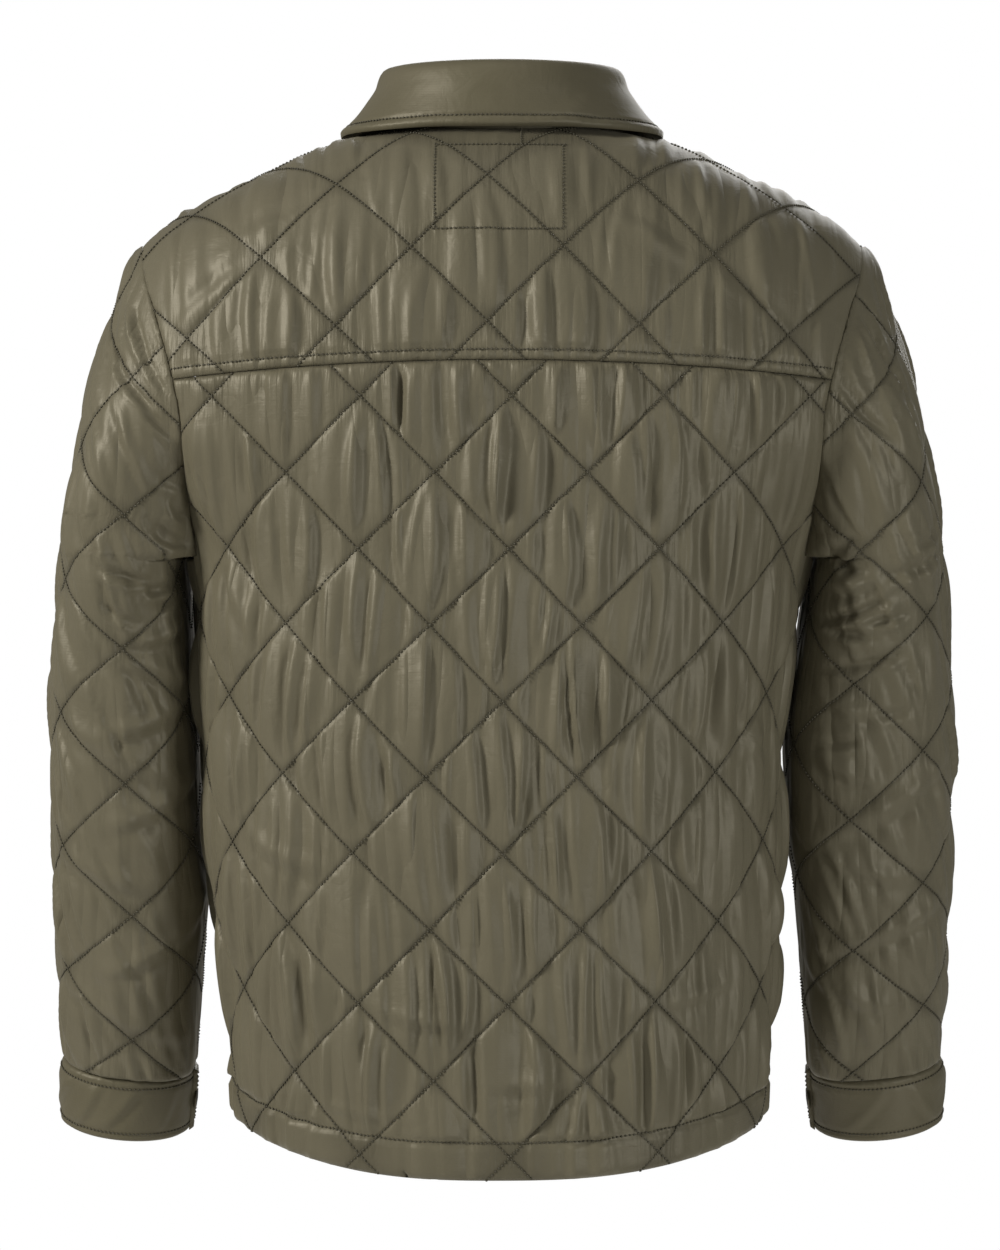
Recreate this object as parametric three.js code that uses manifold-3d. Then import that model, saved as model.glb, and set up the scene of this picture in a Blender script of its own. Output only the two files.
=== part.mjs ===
// A quilted jacket in its worn form, hollow, in millimetres.
// +Z is up, the back faces -Y, and the wearer faces +Y.
// The origin is at the base of the neck, midway between the high points of the shoulders.

import * as THREE from "three";
import { mergeVertices } from "three/addons/utils/BufferGeometryUtils.js";
import Module from "manifold-3d";

const wasm = await Module();
wasm.setup();

// Cloth
const QUILT_WALL = 3;
const PUFF = 8;
const PLAIN_WALL = 2.5;
const SEAM_GAP = 0.3;
const LAP_GAP = 0.4;

// The quilting is squares of about 70 mm on the bias, so each shows as a diamond
const DIAMOND_WIDE = 98;
const DIAMOND_TALL = 99;
const SLEEVE_DIAMOND_TALL = 90;
const CELLS_PER_DIAMOND = 4;
const BACK_CROSSING = { across: 6, down: 181 };
const YOKE_CROSSING = { across: -10, aboveSeam: 25 };

// Body
const FRONT_SEAM_FORWARD = 15;
const YOKE_SEAM_DOWN = 158;
const YOKE_SEAM_DROP = 13;
const SEAM_HALF_SPAN = 225;
const SIDE_HEM_DOWN = 674;
const BACK_HEM_DROP = 18;
const HEM_TURN_UP = 25;
const UNDERARM_DOWN = 290;
const SHOULDER_REACH = 255;
const PANEL_REACH = 318;
const FRONT_LEVEL_DOWN = 200;

// Neck, collar and placket
const NECK_HALF_WIDTH = 75;
const NECK_HALF_DEPTH = 75;
const NECK_FORWARD = 10;
const COLLAR_TOP = 39;
const COLLAR_FRONT_TOP = -24;
const COLLAR_LEAF_WALL = 4;
const STAND_END_TURN = 174;
const FALL_END_TURN = 160;
const FALL_REACH = 113;
const FALL_BACK_REACH = 98;
const PLACKET_HALF_WIDTH = 18;
const PLACKET_TOP_DOWN = 66;
const SNAP_RADIUS = 7.5;
const SNAP_HEIGHT = 2.6;
const SNAP_COUNT = 6;
const SNAP_FIRST_DOWN = 84;
const SNAP_STEP = 112;

// Cuffs
const CUFF_TOP_DOWN = 650;
const CUFF_TALL = 45;
const CUFF_GAP = 0.9;
const CUFF_START_TURN = 100;
const CUFF_WHOLE_TURN = 376;

// Inner face of the body, from the neck down. "square" is the power of the rounded section.
const BODY = [
  { down: 0, halfWidth: 1, backDepth: 1, frontDepth: 1, square: 2, lean: 0 },
  { down: 1, halfWidth: 38, backDepth: 30, frontDepth: 26, square: 2, lean: 0 },
  { down: 5, halfWidth: 78, backDepth: 57, frontDepth: 50, square: 2, lean: 0 },
  { down: 16, halfWidth: 123, backDepth: 80, frontDepth: 68, square: 2, lean: 0 },
  { down: 30, halfWidth: 154, backDepth: 93, frontDepth: 80, square: 2.05, lean: 0 },
  { down: 58, halfWidth: 211, backDepth: 108, frontDepth: 93, square: 2.05, lean: 0 },
  { down: 82, halfWidth: 243, backDepth: 116, frontDepth: 101, square: 2.1, lean: 0 },
  { down: 123, halfWidth: 262, backDepth: 124, frontDepth: 111, square: 2.2, lean: 0 },
  { down: 165, halfWidth: 272, backDepth: 128, frontDepth: 119, square: 2.3, lean: 0 },
  { down: 200, halfWidth: 260, backDepth: 130, frontDepth: 123, square: 2.3, lean: 0 },
  { down: 237, halfWidth: 232, backDepth: 132, frontDepth: 126, square: 2.3, lean: -1 },
  { down: 290, halfWidth: 207, backDepth: 134, frontDepth: 129, square: 2.3, lean: -2 },
  { down: 356, halfWidth: 200, backDepth: 136, frontDepth: 130, square: 2.3, lean: -5 },
  { down: 413, halfWidth: 195, backDepth: 137, frontDepth: 130, square: 2.3, lean: -7 },
  { down: 480, halfWidth: 194, backDepth: 139, frontDepth: 130, square: 2.3, lean: -6 },
  { down: 535, halfWidth: 190, backDepth: 140, frontDepth: 131, square: 2.3, lean: -4 },
  { down: 604, halfWidth: 184, backDepth: 142, frontDepth: 132, square: 2.3, lean: -2 },
  { down: 700, halfWidth: 178, backDepth: 144, frontDepth: 133, square: 2.3, lean: -1 },
];

// Armhole seam as it shows from behind
const ARMHOLE = [
  { down: 0, across: 244 },
  { down: 75, across: 243 },
  { down: 95, across: 239 },
  { down: 115, across: 233 },
  { down: 137, across: 226 },
  { down: 163, across: 218 },
  { down: 192, across: 212 },
  { down: 237, across: 210 },
  { down: 265, across: 208 },
  { down: 290, across: 203 },
];

// Inner face of a sleeve: its edge away from the body, its edge near it, and its depth
const SLEEVE = [
  { down: 60, outer: 229, inner: 200, halfDepth: 60, forward: 0 },
  { down: 123, outer: 262, inner: 200, halfDepth: 80, forward: 0 },
  { down: 177, outer: 278, inner: 200, halfDepth: 87, forward: 0 },
  { down: 231, outer: 288, inner: 200, halfDepth: 84, forward: 2 },
  { down: 290, outer: 299, inner: 200, halfDepth: 77, forward: 6 },
  { down: 342, outer: 303, inner: 200, halfDepth: 71, forward: 11 },
  { down: 383, outer: 308, inner: 200, halfDepth: 68, forward: 15 },
  { down: 466, outer: 309, inner: 202, halfDepth: 61, forward: 22 },
  { down: 540, outer: 309, inner: 211, halfDepth: 54, forward: 31 },
  { down: 598, outer: 308, inner: 216, halfDepth: 48, forward: 38 },
  { down: 650, outer: 306, inner: 221, halfDepth: 39, forward: 45 },
  { down: 700, outer: 305, inner: 226, halfDepth: 37, forward: 52 },
];

// Large folds of the sleeves. Turn is in degrees from the middle of the back towards the body.
const SLEEVE_FOLDS = [
  { side: 1, down: 296, turn: 40, rise: 30, reach: 60, width: 15, depth: 6 },
  { side: 1, down: 350, turn: 35, rise: -24, reach: 70, width: 15, depth: 6 },
  { side: 1, down: 470, turn: 30, rise: 20, reach: 60, width: 16, depth: 5 },
  { side: 1, down: 560, turn: 10, rise: -22, reach: 60, width: 15, depth: 5 },
  { side: -1, down: 288, turn: 45, rise: 26, reach: 60, width: 15, depth: 6 },
  { side: -1, down: 330, turn: 40, rise: -30, reach: 70, width: 15, depth: 6 },
  { side: -1, down: 440, turn: 20, rise: 24, reach: 65, width: 16, depth: 5 },
  { side: -1, down: 540, turn: 5, rise: -26, reach: 60, width: 15, depth: 5 },
];

// Each sleeve's quilting starts where the photographed one does
const SLEEVE_QUILTING = {
  1: { crossingTurn: -29, crossingDown: 238 },
  "-1": { crossingTurn: 7, crossingDown: 259 },
};

const cloth = new THREE.MeshStandardMaterial({ color: 0x6a644f, roughness: 0.55, metalness: 0 });
const trim = new THREE.MeshStandardMaterial({ color: 0x665f4b, roughness: 0.6, metalness: 0 });
const brass = new THREE.MeshStandardMaterial({ color: 0x5a5548, roughness: 0.4, metalness: 0.8 });

const { clamp, degToRad, lerp, smoothstep } = THREE.MathUtils;

// A smooth curve through one column of a table, which never swings past its rows
function curveOf(table, column) {
  const at = table.map((row) => row.down);
  const value = table.map((row) => row[column]);
  const last = at.length - 1;
  const slope = (k) => (value[k + 1] - value[k]) / (at[k + 1] - at[k]);
  const tangent = at.map((_, k) => {
    if (k === 0 || k === last) return slope(Math.min(k, last - 1));
    const before = slope(k - 1);
    const after = slope(k);
    return before * after <= 0 ? 0 : (2 * before * after) / (before + after);
  });
  return (down) => {
    const place = clamp(down, at[0], at[last]);
    const k = Math.min(last - 1, Math.max(0, at.findIndex((edge) => edge > place) - 1));
    const row = place >= at[last] ? last - 1 : k;
    const span = at[row + 1] - at[row];
    const t = (place - at[row]) / span;
    const rise = t * t * (3 - 2 * t);
    const start = t * (1 - t) * (1 - t) * span * tangent[row];
    const end = t * t * (t - 1) * span * tangent[row + 1];
    return lerp(value[row], value[row + 1], rise) + start + end;
  };
}

const bodyHalfWidth = curveOf(BODY, "halfWidth");
const bodyBackDepth = curveOf(BODY, "backDepth");
const bodyFrontDepth = curveOf(BODY, "frontDepth");
const bodySquare = curveOf(BODY, "square");
const bodyLean = curveOf(BODY, "lean");
const armholeAcross = curveOf(ARMHOLE, "across");
const sleeveOuter = curveOf(SLEEVE, "outer");
const sleeveInner = curveOf(SLEEVE, "inner");
const sleeveHalfDepth = curveOf(SLEEVE, "halfDepth");
const sleeveForward = curveOf(SLEEVE, "forward");

// Part of an ellipse-like section: 1 at its middle and 0 at its edge
function roundOff(share, power) {
  return Math.pow(Math.max(0, 1 - Math.pow(Math.abs(share), power)), 1 / power);
}

// Body surface. Turn is 0 at the centre back, 90 degrees at the +X side, 180 at the centre front.
function bodyPoint(down, turn) {
  const power = 2 / bodySquare(down);
  const across = Math.sin(turn);
  const away = Math.cos(turn);
  const depth = away > 0 ? bodyBackDepth(down) : bodyFrontDepth(down);
  const x = bodyLean(down) + bodyHalfWidth(down) * Math.sign(across) * Math.abs(across) ** power;
  const y = -depth * Math.sign(away) * Math.abs(away) ** power;
  return new THREE.Vector3(x, y, -down);
}

function sideOf(x) {
  return x < 0 ? -1 : 1;
}

function turnAtX(x, down, front) {
  const share = clamp(Math.abs(x - bodyLean(down)) / bodyHalfWidth(down), 0, 1);
  const turn = Math.asin(Math.pow(share, bodySquare(down) / 2));
  return sideOf(x) * (front ? Math.PI - turn : turn);
}

// Turn of the point that lies a length of cloth away from the centre back or the centre front
const girthTables = new Map();
function turnAtArc(length, down, front) {
  const key = `${down.toFixed(2)} ${front}`;
  if (!girthTables.has(key)) {
    const steps = 120;
    const table = [{ turn: 0, arc: 0 }];
    let before = bodyPoint(down, front ? Math.PI : 0);
    for (let k = 1; k <= steps; k++) {
      const turn = (k / steps) * 0.75 * Math.PI;
      const point = bodyPoint(down, front ? Math.PI - turn : turn);
      table.push({ turn, arc: table[k - 1].arc + point.distanceTo(before) });
      before = point;
    }
    girthTables.set(key, table);
  }
  const table = girthTables.get(key);
  const wanted = Math.abs(length);
  const k = clamp(table.findIndex((row) => row.arc > wanted), 1, table.length - 1);
  const share = (wanted - table[k - 1].arc) / (table[k].arc - table[k - 1].arc);
  const turn = lerp(table[k - 1].turn, table[k].turn, share);
  return sideOf(length) * (front ? Math.PI - turn : turn);
}

// Columns of cloth hang straight from the shoulders, and lie round the body lower down
function bodyTurn(column, down, front) {
  const straight = turnAtX(clamp(column, -SHOULDER_REACH, SHOULDER_REACH), down, front);
  const round = turnAtArc(column, down, front);
  return lerp(straight, round, smoothstep(down, 130, UNDERARM_DOWN));
}

// Level of the shoulder ridge over a place across the body
function ridgeDown(x) {
  let high = 0;
  let low = 150;
  for (let k = 0; k < 30; k++) {
    const middle = (high + low) / 2;
    if (bodyHalfWidth(middle) < Math.abs(x)) high = middle;
    else low = middle;
  }
  return low;
}

// Points up a column from a level, over the ridge and a little down the other side
function climb(column, startDown, front) {
  const steps = 90;
  const past = -0.8;
  const ridge = ridgeDown(clamp(column, -SHOULDER_REACH, SHOULDER_REACH));
  const path = [];
  for (let k = 0; k <= steps; k++) {
    const share = lerp(1, past, k / steps);
    const down = ridge + (startDown - ridge) * share * share;
    const turn = bodyTurn(column, down, share < 0 ? !front : front);
    path.push(bodyPoint(down, turn));
  }
  return path;
}

function along(path, length) {
  let left = length;
  for (let k = 1; k < path.length; k++) {
    const step = path[k].distanceTo(path[k - 1]);
    if (left <= step) return path[k - 1].clone().lerp(path[k], left / step);
    left -= step;
  }
  return path[path.length - 1].clone();
}

// Height of the padding: nothing on a stitch line, most in the middle of a diamond
function puffAt(i, j) {
  const rising = Math.sin((Math.PI * (i + j)) / CELLS_PER_DIAMOND);
  const falling = Math.sin((Math.PI * (i - j)) / CELLS_PER_DIAMOND);
  return Math.sqrt(Math.abs(rising * falling));
}

// Which way to split a cell, so that stitch lines run along edges of the mesh
function splitsForward(i, j) {
  const wrap = (n) => ((n % CELLS_PER_DIAMOND) + CELLS_PER_DIAMOND) % CELLS_PER_DIAMOND;
  return wrap(i - j) === 0 || wrap(i + j + 1) === CELLS_PER_DIAMOND / 2;
}

// A closed wall of cloth from a grid of points on its inner face.
// Points that coincide become one, and the wall gets its edges wherever the grid ends.
function clothWall(grid, inside) {
  const points = [];
  const found = new Map();
  const ids = grid.map((row) =>
    row.map((cell) => {
      const key = cell.point.toArray().map((n) => Math.round(n * 100)).join(" ");
      if (!found.has(key)) {
        found.set(key, points.length);
        points.push({ place: cell.point, wall: cell.wall, normal: new THREE.Vector3() });
      }
      return found.get(key);
    }),
  );
  const faces = [];
  const addFace = (a, b, c) => {
    if (a !== b && b !== c && c !== a) faces.push([a, b, c]);
  };
  for (let r = 0; r + 1 < grid.length; r++) {
    for (let c = 0; c + 1 < grid[r].length; c++) {
      const [a, b, d, e] = [ids[r][c], ids[r][c + 1], ids[r + 1][c], ids[r + 1][c + 1]];
      if (splitsForward(grid[r][c].i, grid[r][c].j)) {
        addFace(a, b, e);
        addFace(a, e, d);
      } else {
        addFace(a, b, d);
        addFace(b, e, d);
      }
    }
  }
  const faceNormal = ([a, b, c]) => {
    const side = points[b].place.clone().sub(points[a].place);
    return side.cross(points[c].place.clone().sub(points[a].place));
  };
  let outward = 0;
  for (const face of faces) {
    outward += faceNormal(face).dot(points[face[0]].place.clone().sub(inside));
  }
  if (outward < 0) faces.forEach((face) => face.reverse());
  for (const face of faces) {
    const normal = faceNormal(face);
    face.forEach((id) => points[id].normal.add(normal));
  }
  const outer = points.map((p) => p.place.clone().addScaledVector(p.normal.normalize(), p.wall));
  const count = points.length;
  const used = new Set(faces.flatMap(([a, b, c]) => [`${a} ${b}`, `${b} ${c}`, `${c} ${a}`]));
  const index = [];
  for (const [a, b, c] of faces) {
    index.push(count + a, count + b, count + c, c, b, a);
    for (const [from, to] of [[a, b], [b, c], [c, a]]) {
      if (used.has(`${to} ${from}`)) continue;
      index.push(count + to, count + from, from, count + to, from, to);
    }
  }
  const geometry = new THREE.BufferGeometry();
  const all = [...points.map((p) => p.place), ...outer].flatMap((p) => p.toArray());
  geometry.setAttribute("position", new THREE.Float32BufferAttribute(all, 3));
  geometry.setIndex(index);
  return geometry;
}

function solidOf(geometry) {
  const bare = geometry.clone();
  bare.deleteAttribute("normal");
  bare.deleteAttribute("uv");
  const merged = mergeVertices(bare);
  return new wasm.Manifold(
    new wasm.Mesh({
      numProp: 3,
      vertProperties: new Float32Array(merged.attributes.position.array),
      triVerts: new Uint32Array(merged.index.array),
    }),
  );
}

function geometryOf(solid) {
  const mesh = solid.getMesh();
  const geometry = new THREE.BufferGeometry();
  geometry.setAttribute("position", new THREE.BufferAttribute(mesh.vertProperties, 3));
  geometry.setIndex(new THREE.BufferAttribute(mesh.triVerts, 1));
  return geometry;
}

// Cutters. An outline of across and up places is drawn out along Y.
function cutterAlongY(outline, back, front) {
  const shape = new THREE.Shape(outline.map(([x, z]) => new THREE.Vector2(x, z)));
  const geometry = new THREE.ExtrudeGeometry(shape, { depth: front - back, bevelEnabled: false });
  geometry.rotateX(Math.PI / 2);
  geometry.translate(0, front, 0);
  return solidOf(geometry);
}

function blockBetween(low, high) {
  const size = new THREE.Vector3(...high).sub(new THREE.Vector3(...low));
  const geometry = new THREE.BoxGeometry(size.x, size.y, size.z);
  geometry.translate(...size.multiplyScalar(0.5).add(new THREE.Vector3(...low)).toArray());
  return solidOf(geometry);
}

const FAR = 900;
const halfGap = SEAM_GAP / 2;

function yokeSeamDown(x) {
  return YOKE_SEAM_DOWN + YOKE_SEAM_DROP * (x / SEAM_HALF_SPAN) ** 2;
}

function aboveYokeSeam(shift) {
  const steps = 24;
  const reach = 330;
  const outline = [[reach, 60], [-reach, 60]];
  for (let k = 0; k <= steps; k++) {
    const x = lerp(-reach, reach, k / steps);
    outline.push([x, shift - yokeSeamDown(x)]);
  }
  return cutterAlongY(outline, -FAR, FAR);
}

function armholeEdge(side, shift) {
  const steps = 20;
  const edge = [];
  for (let k = 0; k <= steps; k++) {
    const down = lerp(40, UNDERARM_DOWN - shift, k / steps);
    edge.push([side * (armholeAcross(down) + shift), -down]);
  }
  return edge;
}

// What lies on the sleeve's side of an armhole seam, and what lies on the body's side
function beyondArmhole(side) {
  const edge = armholeEdge(side, -halfGap);
  const underarm = -UNDERARM_DOWN - halfGap;
  return cutterAlongY([...edge, [side * 340, underarm], [side * 340, -40]], -FAR, FAR);
}

function withinArmhole(side) {
  const edge = armholeEdge(side, halfGap);
  const underarm = -UNDERARM_DOWN + halfGap;
  return cutterAlongY([...edge, [side * 100, underarm], [side * 100, 20], [side * 244, 20]], -FAR, FAR);
}

function neckHole() {
  const outline = new THREE.Shape();
  outline.absellipse(0, NECK_FORWARD, NECK_HALF_WIDTH, NECK_HALF_DEPTH, 0, 2 * Math.PI);
  const geometry = new THREE.ExtrudeGeometry(outline, {
    depth: 170,
    bevelEnabled: false,
    curveSegments: 12,
  });
  geometry.translate(0, 0, -110);
  return solidOf(geometry);
}

const sleeveSides = [beyondArmhole(1), beyondArmhole(-1)];
const neck = neckHole();
const behindFronts = blockBetween([-FAR, -FAR, -FAR], [FAR, FRONT_SEAM_FORWARD - halfGap, FAR]);
const beforeBack = blockBetween([-FAR, FRONT_SEAM_FORWARD + halfGap, -FAR], [FAR, FAR, FAR]);

function withoutSleeves(solid) {
  return sleeveSides.reduce((left, cutter) => left.subtract(cutter), solid);
}

// Padding lies flatter under the collar, under the arms, and in the turned-up hem
function bodyPress(point, turn) {
  const down = -point.z;
  const collar = Math.hypot(point.x, point.y - NECK_FORWARD);
  const collarDown = point.y > 0 ? 116 : 60;
  const underCollar = down < collarDown ? lerp(0.3, 1, smoothstep(collar, 110, 135)) : 1;
  const toSide = Math.abs(Math.abs(turn) - Math.PI / 2);
  const arm = down > UNDERARM_DOWN - 20 ? lerp(0.4, 1, smoothstep(toSide, 0.35, 0.8)) : 1;
  return underCollar * arm;
}

function hemDown(turn) {
  return SIDE_HEM_DOWN + BACK_HEM_DROP * Math.max(0, Math.cos(turn)) ** 2;
}

function quiltedCell(point, i, j, press) {
  return { point, i, j, wall: QUILT_WALL + PUFF * press * puffAt(i, j) };
}

const cellWide = DIAMOND_WIDE / CELLS_PER_DIAMOND;
const cellTall = DIAMOND_TALL / CELLS_PER_DIAMOND;
const insideChest = new THREE.Vector3(0, 0, -350);

function backYoke() {
  const grid = [];
  const columns = Math.ceil(SHOULDER_REACH / cellWide);
  const seamRow = YOKE_CROSSING.aboveSeam / cellTall;
  for (let j = -2; j <= 10; j++) {
    const row = [];
    for (let i = -columns; i <= columns; i++) {
      const x = clamp(YOKE_CROSSING.across + i * cellWide, -SHOULDER_REACH + 4, SHOULDER_REACH - 4);
      const path = climb(x, yokeSeamDown(x) + 40, false);
      const point = along(path, 40 + (j + seamRow) * cellTall);
      row.push(quiltedCell(point, i, j, bodyPress(point, 0)));
    }
    grid.push(row);
  }
  const sheet = withoutSleeves(solidOf(clothWall(grid, insideChest)));
  return sheet.subtract(neck).intersect(behindFronts).intersect(aboveYokeSeam(halfGap));
}

// One row of cells round the body, which stops at the hem
function bodyRow(down, j, columns, front) {
  return columns.map(({ i, across }) => {
    const turn = bodyTurn(across, down, front);
    const hem = hemDown(turn);
    const placed = Math.min(down, hem);
    const point = bodyPoint(placed, bodyTurn(across, placed, front));
    const hemPress = placed > hem - HEM_TURN_UP ? 0.4 : 1;
    const placketPress = front ? smoothstep(Math.abs(across), cellWide + 1, 2 * cellWide) : 1;
    const edge = placed === hem ? 0 : 1;
    return quiltedCell(point, i, j, bodyPress(point, turn) * hemPress * placketPress * edge);
  });
}

function backPanel() {
  const columns = [];
  const reach = Math.ceil(PANEL_REACH / cellWide);
  for (let i = -reach; i <= reach; i++) {
    columns.push({ i, across: BACK_CROSSING.across + i * cellWide });
  }
  const grid = [];
  for (let j = -2; j <= 21; j++) {
    grid.push(bodyRow(BACK_CROSSING.down + j * cellTall, j, columns, false));
  }
  const sheet = withoutSleeves(solidOf(clothWall(grid, insideChest)));
  return sheet.intersect(behindFronts).subtract(aboveYokeSeam(-halfGap));
}

function frontPanel(side) {
  const columns = [];
  const reach = Math.ceil(PANEL_REACH / cellWide);
  for (let i = 0; i <= reach; i++) {
    columns.push({ i, across: side * Math.max(i * cellWide, halfGap) });
  }
  const grid = [];
  for (let j = 11; j >= 1; j--) {
    grid.push(
      columns.map(({ i, across }) => {
        const point = along(climb(across, FRONT_LEVEL_DOWN, true), j * cellTall);
        const placketPress = smoothstep(Math.abs(across), cellWide + 1, 2 * cellWide);
        return quiltedCell(point, i, -j, bodyPress(point, 0) * placketPress);
      }),
    );
  }
  for (let j = 0; j <= 20; j++) {
    grid.push(bodyRow(FRONT_LEVEL_DOWN + j * cellTall, j, columns, true));
  }
  const sheet = withoutSleeves(solidOf(clothWall(grid, insideChest)));
  return sheet.subtract(neck).intersect(beforeBack);
}

// Sleeves, worked out on the +X side. The body's own edge keeps them clear of it.
const ARM_CLEARANCE = 13;
const CAP_EXTRA_DOWNS = [66, 73, 92];
const WEB_TOP_DOWN = 278;
const WEB_DOWN = 286.6;

function sleeveEdges(down, side) {
  const beside = bodyHalfWidth(down) + side * bodyLean(down) + ARM_CLEARANCE;
  const free = Math.max(sleeveInner(down), beside);
  const within = armholeAcross(down) - 25;
  return { inner: down < WEB_DOWN - 1 ? within : free, outer: sleeveOuter(down) };
}

// Line down the middle of a sleeve, from which its quilting is laid out
function sleeveMiddle(down, side) {
  const { inner } = sleeveEdges(Math.max(down, UNDERARM_DOWN), side);
  return (inner + sleeveOuter(down)) / 2;
}

// Half of the depth of a sleeve's level section, at a place across it. The cap goes on from the
// body's own surface, and lower down the sleeve starts at the armhole's edge and swells from there.
function sleeveDepthAt(x, down, side) {
  const { inner, outer } = sleeveEdges(down, side);
  const middle = sleeveMiddle(down, side);
  const nearBody = x < middle;
  const share = clamp(Math.abs(x - middle) / (nearBody ? middle - inner : outer - middle), 0, 1);
  const own = sleeveHalfDepth(down) * roundOff(share, nearBody ? 3 : 2.2);
  if (down > WEB_DOWN - 1) return { back: own, front: own };
  const seam = armholeAcross(down);
  const reach = bodyHalfWidth(down) * (1 - 1e-6);
  const wideAt = (place) => roundOff(Math.min(place, reach) / bodyHalfWidth(down), bodySquare(down));
  const cap = 1 - smoothstep(down, 150, 262);
  const close = roundOff(clamp((seam - 4 - x) / 21, 0, 1), 2);
  const depth = (full) => {
    const swelling = lerp(full * wideAt(seam), own, smoothstep(x, seam, seam + 40));
    return close * lerp(swelling, full * wideAt(x), cap);
  };
  return { back: depth(bodyBackDepth(down)), front: depth(bodyFrontDepth(down)) };
}

// Level section of a sleeve as points from its inner seam, round the back, to that seam again
function sleeveSection(down, side) {
  const { inner, outer } = sleeveEdges(down, side);
  const middle = sleeveMiddle(down, side);
  const forward = sleeveForward(down);
  const leanForward = 0.14 * smoothstep(down, 320, 600);
  const leanOut = 0.1 * smoothstep(down, 500, 650);
  const steps = 160;
  const points = [];
  for (let k = 0; k <= steps; k++) {
    const turn = Math.PI / 2 - (2 * Math.PI * k) / steps;
    const toward = Math.sin(turn);
    const x = middle - toward * (toward > 0 ? middle - inner : outer - middle);
    const depth = sleeveDepthAt(x, down, side);
    const y = Math.cos(turn) > 0 ? -depth.back : depth.front;
    const up = leanForward * y + leanOut * (x - middle);
    points.push(new THREE.Vector3(x, forward + y, up - down));
  }
  return points;
}

function foldDepth(side, down, turn, radius) {
  let depth = 0;
  for (const fold of SLEEVE_FOLDS.filter((row) => row.side === side)) {
    const out = degToRad(turn - fold.turn) * radius;
    const slope = degToRad(fold.rise);
    const below = down - fold.down;
    const alongFold = (out * Math.cos(slope) + below * Math.sin(slope)) / fold.reach;
    const acrossFold = (below * Math.cos(slope) - out * Math.sin(slope)) / fold.width;
    depth += fold.depth * Math.exp(-acrossFold * acrossFold - alongFold * alongFold * 2);
  }
  return depth;
}

const SLEEVE_GIRTH_CELLS = 16;

function sleeve(side) {
  const tall = SLEEVE_DIAMOND_TALL / CELLS_PER_DIAMOND;
  const { crossingTurn, crossingDown } = SLEEVE_QUILTING[side];
  const levels = [];
  for (let j = Math.ceil((60 - crossingDown) / tall); ; j++) {
    const down = crossingDown + j * tall;
    if (down > CUFF_TOP_DOWN - tall / 3) break;
    if (down < WEB_TOP_DOWN - tall / 3 || down > WEB_DOWN + tall / 3) levels.push({ down, j });
  }
  for (const down of [...CAP_EXTRA_DOWNS, WEB_TOP_DOWN, WEB_DOWN, CUFF_TOP_DOWN]) {
    levels.push({ down, j: (down - crossingDown) / tall });
  }
  levels.sort((a, b) => a.down - b.down);
  const grid = levels.map(({ down, j }) => {
    const section = sleeveSection(down, side);
    const lengths = [0];
    for (let k = 1; k < section.length; k++) {
      lengths.push(lengths[k - 1] + section[k].distanceTo(section[k - 1]));
    }
    const girth = lengths[lengths.length - 1];
    const middle = sleeveMiddle(down, side);
    const start = lengths[section.findIndex(({ x }) => x > middle)] - crossingTurn;
    const row = [];
    for (let i = -SLEEVE_GIRTH_CELLS; i <= SLEEVE_GIRTH_CELLS; i++) {
      const wanted = clamp(start + i * cellWide, 0, girth);
      const k = clamp(lengths.findIndex((length) => length >= wanted), 1, lengths.length - 1);
      const share = (wanted - lengths[k - 1]) / (lengths[k] - lengths[k - 1]);
      const point = section[k - 1].clone().lerp(section[k], share);
      const out = point.clone().sub(new THREE.Vector3(middle, sleeveForward(down), point.z));
      const turn = THREE.MathUtils.radToDeg(Math.atan2(-out.x, -out.y));
      const nearBody = smoothstep(-out.x / (sleeveOuter(down) - middle), 0.4, 0.84);
      const fold = foldDepth(side, down, turn, out.length()) * (1 - nearBody);
      point.addScaledVector(out.normalize(), -fold);
      const seam = wanted === 0 || wanted === girth ? 0 : 1;
      const cuffPress = down === CUFF_TOP_DOWN ? 0 : 1;
      const press = down > WEB_TOP_DOWN - 1 ? lerp(1, 0.3, nearBody) : 1;
      row.push(quiltedCell(point, i, j, press * seam * cuffPress));
    }
    return row;
  });
  for (const row of grid) {
    for (const cell of row) cell.point.x *= side;
  }
  const inside = new THREE.Vector3(side * 255, 15, -450);
  return solidOf(clothWall(grid, inside)).subtract(withinArmhole(side));
}

// A cuff is a plain band that goes a little more than once round, so that its end laps over
function cuffPoint(share, tall, side, lift) {
  const down = CUFF_TOP_DOWN + CUFF_GAP + tall;
  const { inner, outer } = sleeveEdges(down, side);
  const turn = degToRad(CUFF_START_TURN - CUFF_WHOLE_TURN * share);
  const half = (outer - inner) / 2 + lift;
  const depth = sleeveHalfDepth(down) + lift;
  const x = -half * Math.sin(turn);
  const y = -depth * Math.cos(turn);
  const up = 0.14 * y + 0.1 * x;
  const middle = (inner + outer) / 2;
  return new THREE.Vector3(side * (middle + x), sleeveForward(down) + y, up - down);
}

function cuff(side) {
  const columns = 34;
  const rows = 3;
  const grid = [];
  for (let r = 0; r <= rows; r++) {
    const row = [];
    for (let c = 0; c <= columns; c++) {
      const share = c / columns;
      const lift = (PLAIN_WALL + LAP_GAP) * smoothstep(share, 0.76, 0.94);
      const point = cuffPoint(share, (CUFF_TALL * r) / rows, side, lift);
      row.push({ point, i: 0, j: 0, wall: PLAIN_WALL });
    }
    grid.push(row);
  }
  const inside = cuffPoint(0.1, CUFF_TALL / 2, side, 0).lerp(cuffPoint(0.6, CUFF_TALL / 2, side, 0), 0.5);
  return clothWall(grid, inside);
}

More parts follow.
